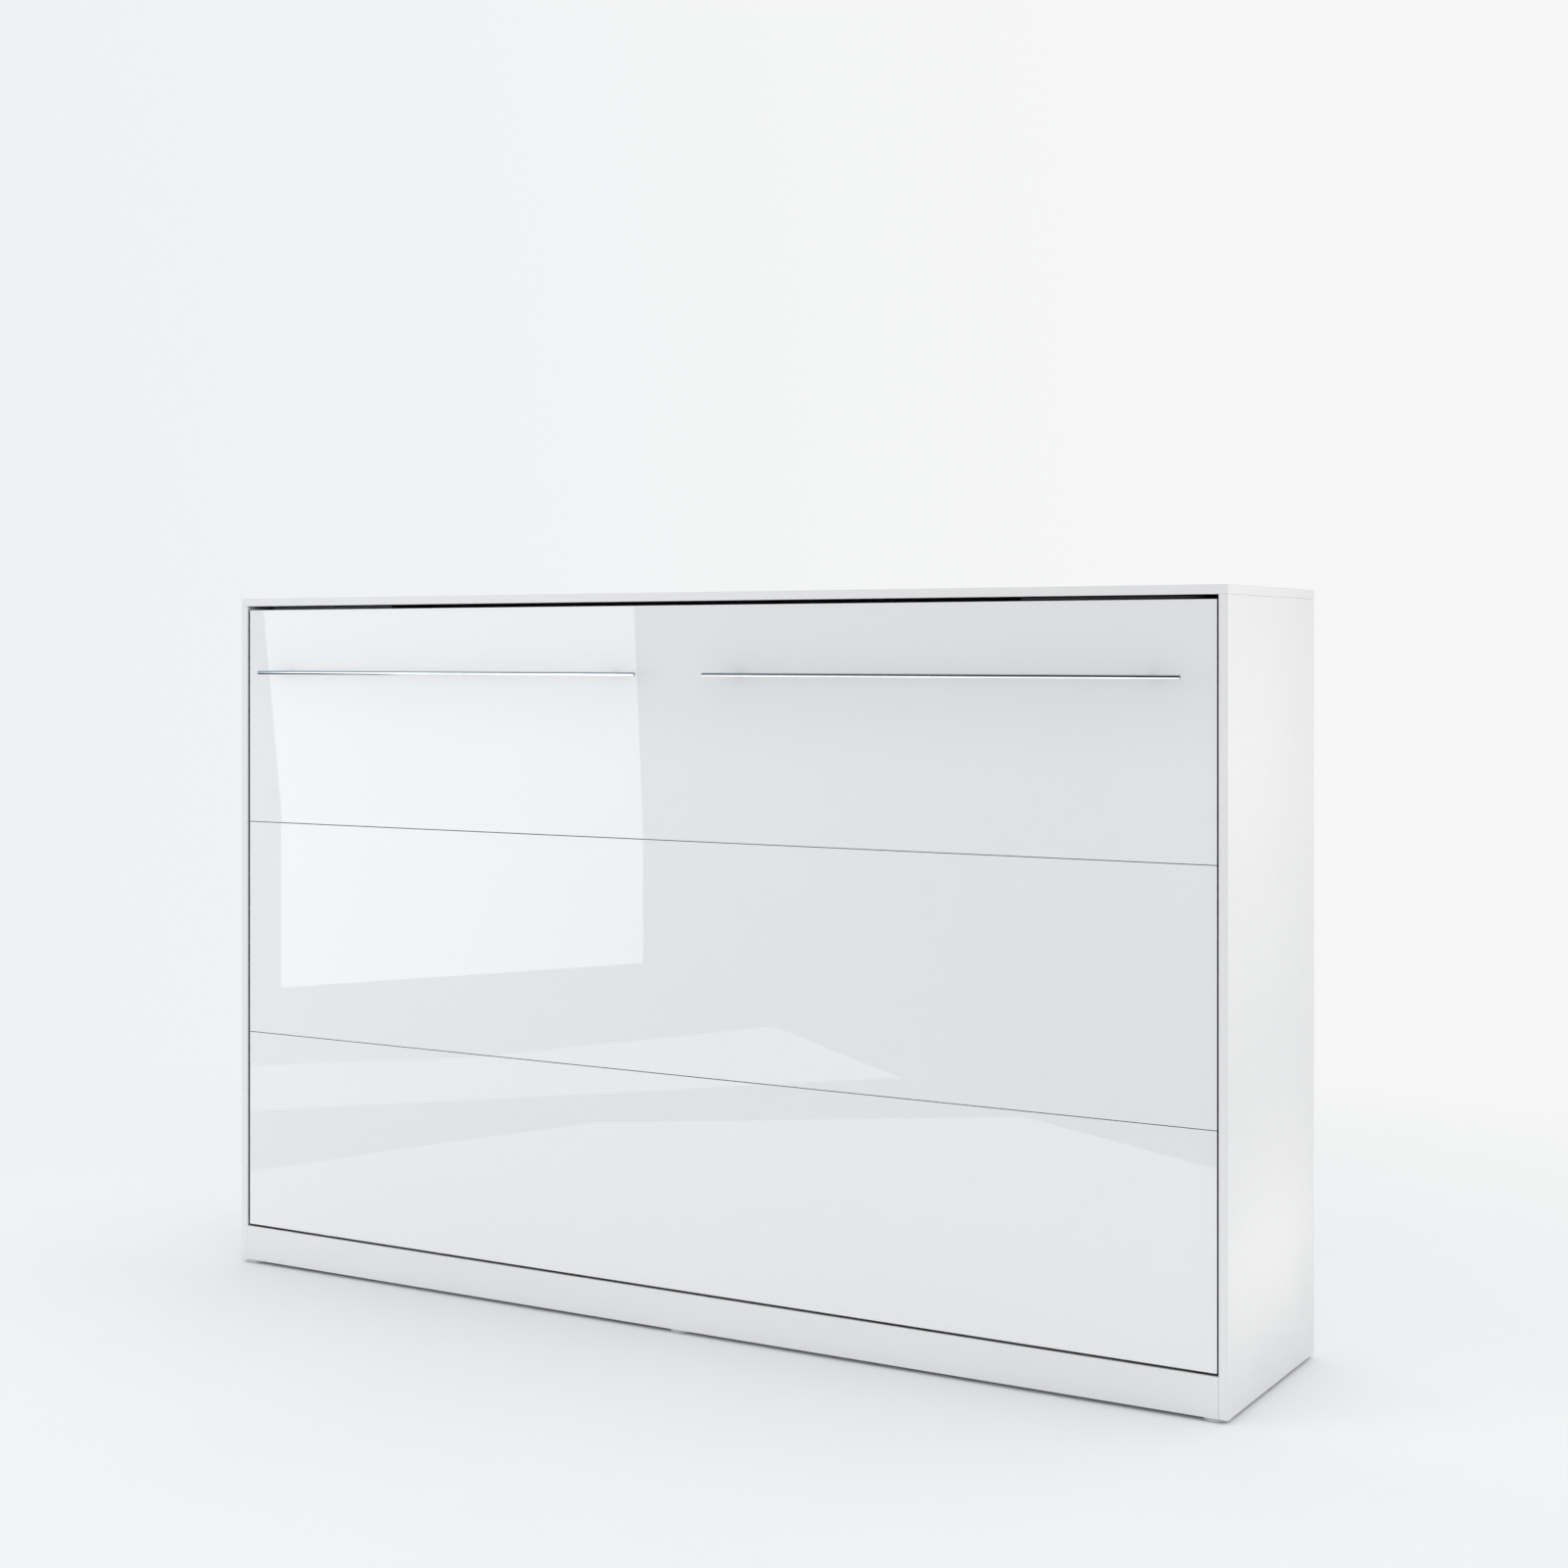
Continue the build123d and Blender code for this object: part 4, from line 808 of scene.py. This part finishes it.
def tail_line(line, buckle):
    """The free end's middle line: up through one slot, over both bars, and down along the strap."""
    low, high = buckle
    middle, over = (low.z + high.z) / 2, high.y + STRAP_THICKNESS * TAIL_LIFT
    crest = sorted((z, y) for y, z in line if y > low.y - CREST_DEPTH)
    lie_z = np.linspace(high.z + TAIL_LANDING, high.z + TAIL_LENGTH, TAIL_POINTS)
    lie_y = np.interp(lie_z, *zip(*crest)) + STRAP_THICKNESS
    bends = [
        (low.y - STRAP_THICKNESS / 2, middle - BUCKLE_SLOT_AT),
        (over - TAIL_DROP, middle - BUCKLE_SLOT_AT + TAIL_LEAN),
        (over, middle - BUCKLE_BAR_AT),
        (over, high.z - BUCKLE_RIM),
        (over - TAIL_DROP, high.z + TAIL_DROP),
    ]
    return resample(bends + list(zip(lie_y, lie_z)), TAIL_STEP)


def stitches(name, places, material):
    """Short stitches along X at each place, as one mesh."""
    around = STITCH_SIDES
    vertices, faces = [], []
    for place in places:
        start = len(vertices)
        for share, width in STITCH_PROFILE:
            for k in range(around):
                angle, radius = 2 * pi * k / around, STITCH_RADIUS * width
                offset = Vector((share * STITCH_LENGTH, sin(angle) * radius, cos(angle) * radius))
                vertices.append(place + offset)
        last = len(vertices) - around
        for first in range(start, last, around):
            for k in range(around):
                a, b = first + k, first + (k + 1) % around
                faces.append((a, b, b + around, a + around))
        faces.append(tuple(start + k for k in reversed(range(around))))
        faces.append(tuple(last + k for k in range(around)))
    return mesh_object(name, vertices, faces, material)


def make_straps(surface, finishes):
    """Two straps drawn over the mattress, each with a free end that is hemmed and stitched."""
    strap_box, buckle_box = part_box("mattress_straps"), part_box("strap_buckles")
    x_out = strap_box[1].x - STRAP_WIDTH / 2
    web, thread = finishes["webbing"], stitching("stitching").material
    for side, x in (("left", -x_out), ("right", x_out)):
        line = taut_line(surface, x, buckle_box, strap_box)
        tail = tail_line(line, buckle_box)
        hem = [(y + STRAP_THICKNESS, z) for y, z in tail if z > tail[-1][1] - STRAP_HEM]
        name, tail_width = f"mattress_strap_{side}", STRAP_WIDTH - TAIL_NARROWER
        pieces = [
            ribbon(name, line, x, STRAP_WIDTH, web),
            ribbon(f"{name}_tail", tail, x, tail_width, web),
            ribbon(f"{name}_hem", hem, x, tail_width, web),
        ]
        for piece in pieces:
            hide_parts("mattress_straps")
        lift = Vector((x, STRAP_THICKNESS / 2 + STITCH_RADIUS / 2, 0))
        shares = [(k + 0.5) / STITCH_COUNT - 0.5 for k in range(STITCH_COUNT)]
        span = STRAP_WIDTH * STITCH_SPAN
        rows = (hem[len(hem) // 5], hem[-len(hem) // 4])
        places = [Vector((share * span, *row)) + lift for row in rows for share in shares]
        pieces.append(stitches(f"{name}_stitches", places, thread))
        for piece in pieces:
            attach(piece, "bed")


# ======================================================================================
# Stage
# ======================================================================================

def make_camera():
    """The photo's camera: level, with its lens shifted."""
    low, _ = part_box("side_panel_right")
    data = bpy.data.cameras.new("camera")
    data.lens = CAMERA_LENS
    data.sensor_width = CAMERA_SENSOR
    data.shift_x, data.shift_y = CAMERA_SHIFT
    camera = bpy.data.objects.new("camera", data)
    camera.location = (CAMERA_RIGHT, low.y - CAMERA_AHEAD, CAMERA_HEIGHT)
    camera.rotation_euler = (pi / 2, 0, CAMERA_TURN)
    bpy.context.scene.collection.objects.link(camera)
    bpy.context.scene.camera = camera


def make_world():
    """Soft light from all round, a darker room for gloss to show, and a plain backdrop for the camera."""
    world = bpy.data.worlds.new("studio")
    world.use_nodes = True
    tree = world.node_tree
    tree.nodes.clear()

    def add(kind, **settings):
        node = tree.nodes.new(kind)
        for key, value in settings.items():
            setattr(node, key, value)
        return node

    split = add("ShaderNodeSeparateXYZ")
    tree.links.new(add("ShaderNodeTexCoord").outputs["Generated"], split.inputs[0])

    def shade(base, axis, start, end, tone, blend_type):
        """Brings in a tone as one component of the direction goes from start to end."""
        share = add("ShaderNodeMapRange", interpolation_type="SMOOTHSTEP")
        share.inputs["From Min"].default_value = start
        share.inputs["From Max"].default_value = end
        tree.links.new(split.outputs[axis], share.inputs["Value"])
        blend = add("ShaderNodeMix", data_type="RGBA", blend_type=blend_type)
        tree.links.new(share.outputs["Result"], blend.inputs[MIX_SHARE])
        blend.inputs[MIX_SECOND].default_value = (*tone, 1)
        if isinstance(base, tuple):
            blend.inputs[MIX_FIRST].default_value = (*base, 1)
        else:
            tree.links.new(base, blend.inputs[MIX_FIRST])
        return blend.outputs[MIX_RESULT]

    def light(colour):
        """Light of a colour socket."""
        node = add("ShaderNodeBackground")
        tree.links.new(colour, node.inputs["Color"])
        return node.outputs[0]

    def choose(share, first, second):
        """The first light, or the second where share is 1."""
        node = add("ShaderNodeMixShader")
        for socket, value in zip(node.inputs, (share, first, second)):
            tree.links.new(value, socket)
        return node.outputs[0]

    room, seen, backdrop = shade(ROOM, *ROOM_BEHIND), SEEN, shade(BACKDROP_LEFT, *BACKDROP_RIGHT)
    for band in (SEEN_LEFT, SEEN_BEHIND, SEEN_ABOVE, SEEN_FAR_FLOOR, SEEN_NEAR_FLOOR):
        seen = shade(seen, *band)
    ray = add("ShaderNodeLightPath")
    surface = choose(ray.outputs["Is Glossy Ray"], light(room), light(seen))
    surface = choose(ray.outputs["Is Camera Ray"], surface, light(backdrop))
    tree.links.new(surface, add("ShaderNodeOutputWorld").inputs["Surface"])
    bpy.context.scene.world = world


def make_floor():
    """A pale floor that fades into the backdrop."""
    around = FLOOR_SPOKES
    turns = [2 * pi * k / around for k in range(around)]
    vertices = [Vector((0, 0, 0))]
    for i in range(1, FLOOR_RINGS + 1):
        radius = FLOOR_RADIUS * (i / FLOOR_RINGS) ** FLOOR_CROWDING
        vertices += [Vector((radius * cos(turn), radius * sin(turn), 0)) for turn in turns]
    faces = [(0, 1 + k, 1 + (k + 1) % around) for k in range(around)]
    for i in range(FLOOR_RINGS - 1):
        for k in range(around):
            a, b = 1 + i * around + k, 1 + i * around + (k + 1) % around
            faces.append((a, a + around, b + around, b))
    f = Finish("studio_floor", FLOOR_TONE, 0.6, specular=0.0)
    tones(f, f.noise(1.3, 3.0), tuple(c * FLOOR_MOTTLE for c in FLOOR_TONE), FLOOR_TONE)
    f.roughness(f.noise(20.0), 0.5, 0.6)
    f.relief(f.noise(220.0), 60e-6)
    length = f.add("ShaderNodeVectorMath", {0: f.place}, operation="LENGTH").outputs["Value"]
    solid = f.spread(length, 1.0, 0.0, *FLOOR_FADE)
    f.tree.links.new(solid, f.shader.inputs["Alpha"])
    floor = mesh_object("studio_floor", vertices, faces, f.material)
    floor.visible_glossy = False


def softbox(name, place, facing, size, power, colour=(1.0, 1.0, 1.0), seen=True, spread=180):
    """A rectangular soft light, never seen by the camera itself: power in watts, spread in degrees."""
    data = bpy.data.lights.new(name, "AREA")
    data.shape = "RECTANGLE"
    data.size, data.size_y = size
    data.energy = power
    data.color = colour
    data.spread = radians(spread)
    light = bpy.data.objects.new(name, data)
    light.location = place
    light.rotation_euler = Vector(facing).to_track_quat("-Z", "Y").to_euler()
    light.visible_camera = False
    light.visible_glossy = seen
    bpy.context.scene.collection.objects.link(light)


def floor_glow(name, outline):
    """A pale patch on the floor that shows only in gloss, as light from a window does."""
    material = bpy.data.materials.new(name)
    material.use_nodes = True
    tree = material.node_tree
    tree.nodes.clear()
    glow = tree.nodes.new("ShaderNodeEmission")
    glow.inputs["Strength"].default_value = PATCH_GLOW
    out = tree.nodes.new("ShaderNodeOutputMaterial")
    tree.links.new(glow.outputs[0], out.inputs["Surface"])
    corners = [Vector((x, y, PATCH_HEIGHT)) for x, y in outline]
    patch = mesh_object(name, corners, [tuple(range(len(corners)))], material)
    patch.visible_camera = False
    patch.visible_diffuse = False
    patch.visible_shadow = False
    patch.visible_transmission = False


def make_lights():
    """The soft lights, and the patches of light on the floor."""
    for name, settings in LIGHTS.items():
        softbox(name, **settings)
    floor_glow("near_patch", NEAR_PATCH)
    floor_glow("far_patch", FAR_PATCH)


def main():
    """Stage, finishes and soft pieces."""
    bpy.context.scene.view_settings.view_transform = "Standard"
    make_camera()
    make_world()
    make_floor()
    make_lights()
    finishes = finish_cad_nodes()
    surface = make_mattress(finishes)
    make_straps(surface, finishes)


main()
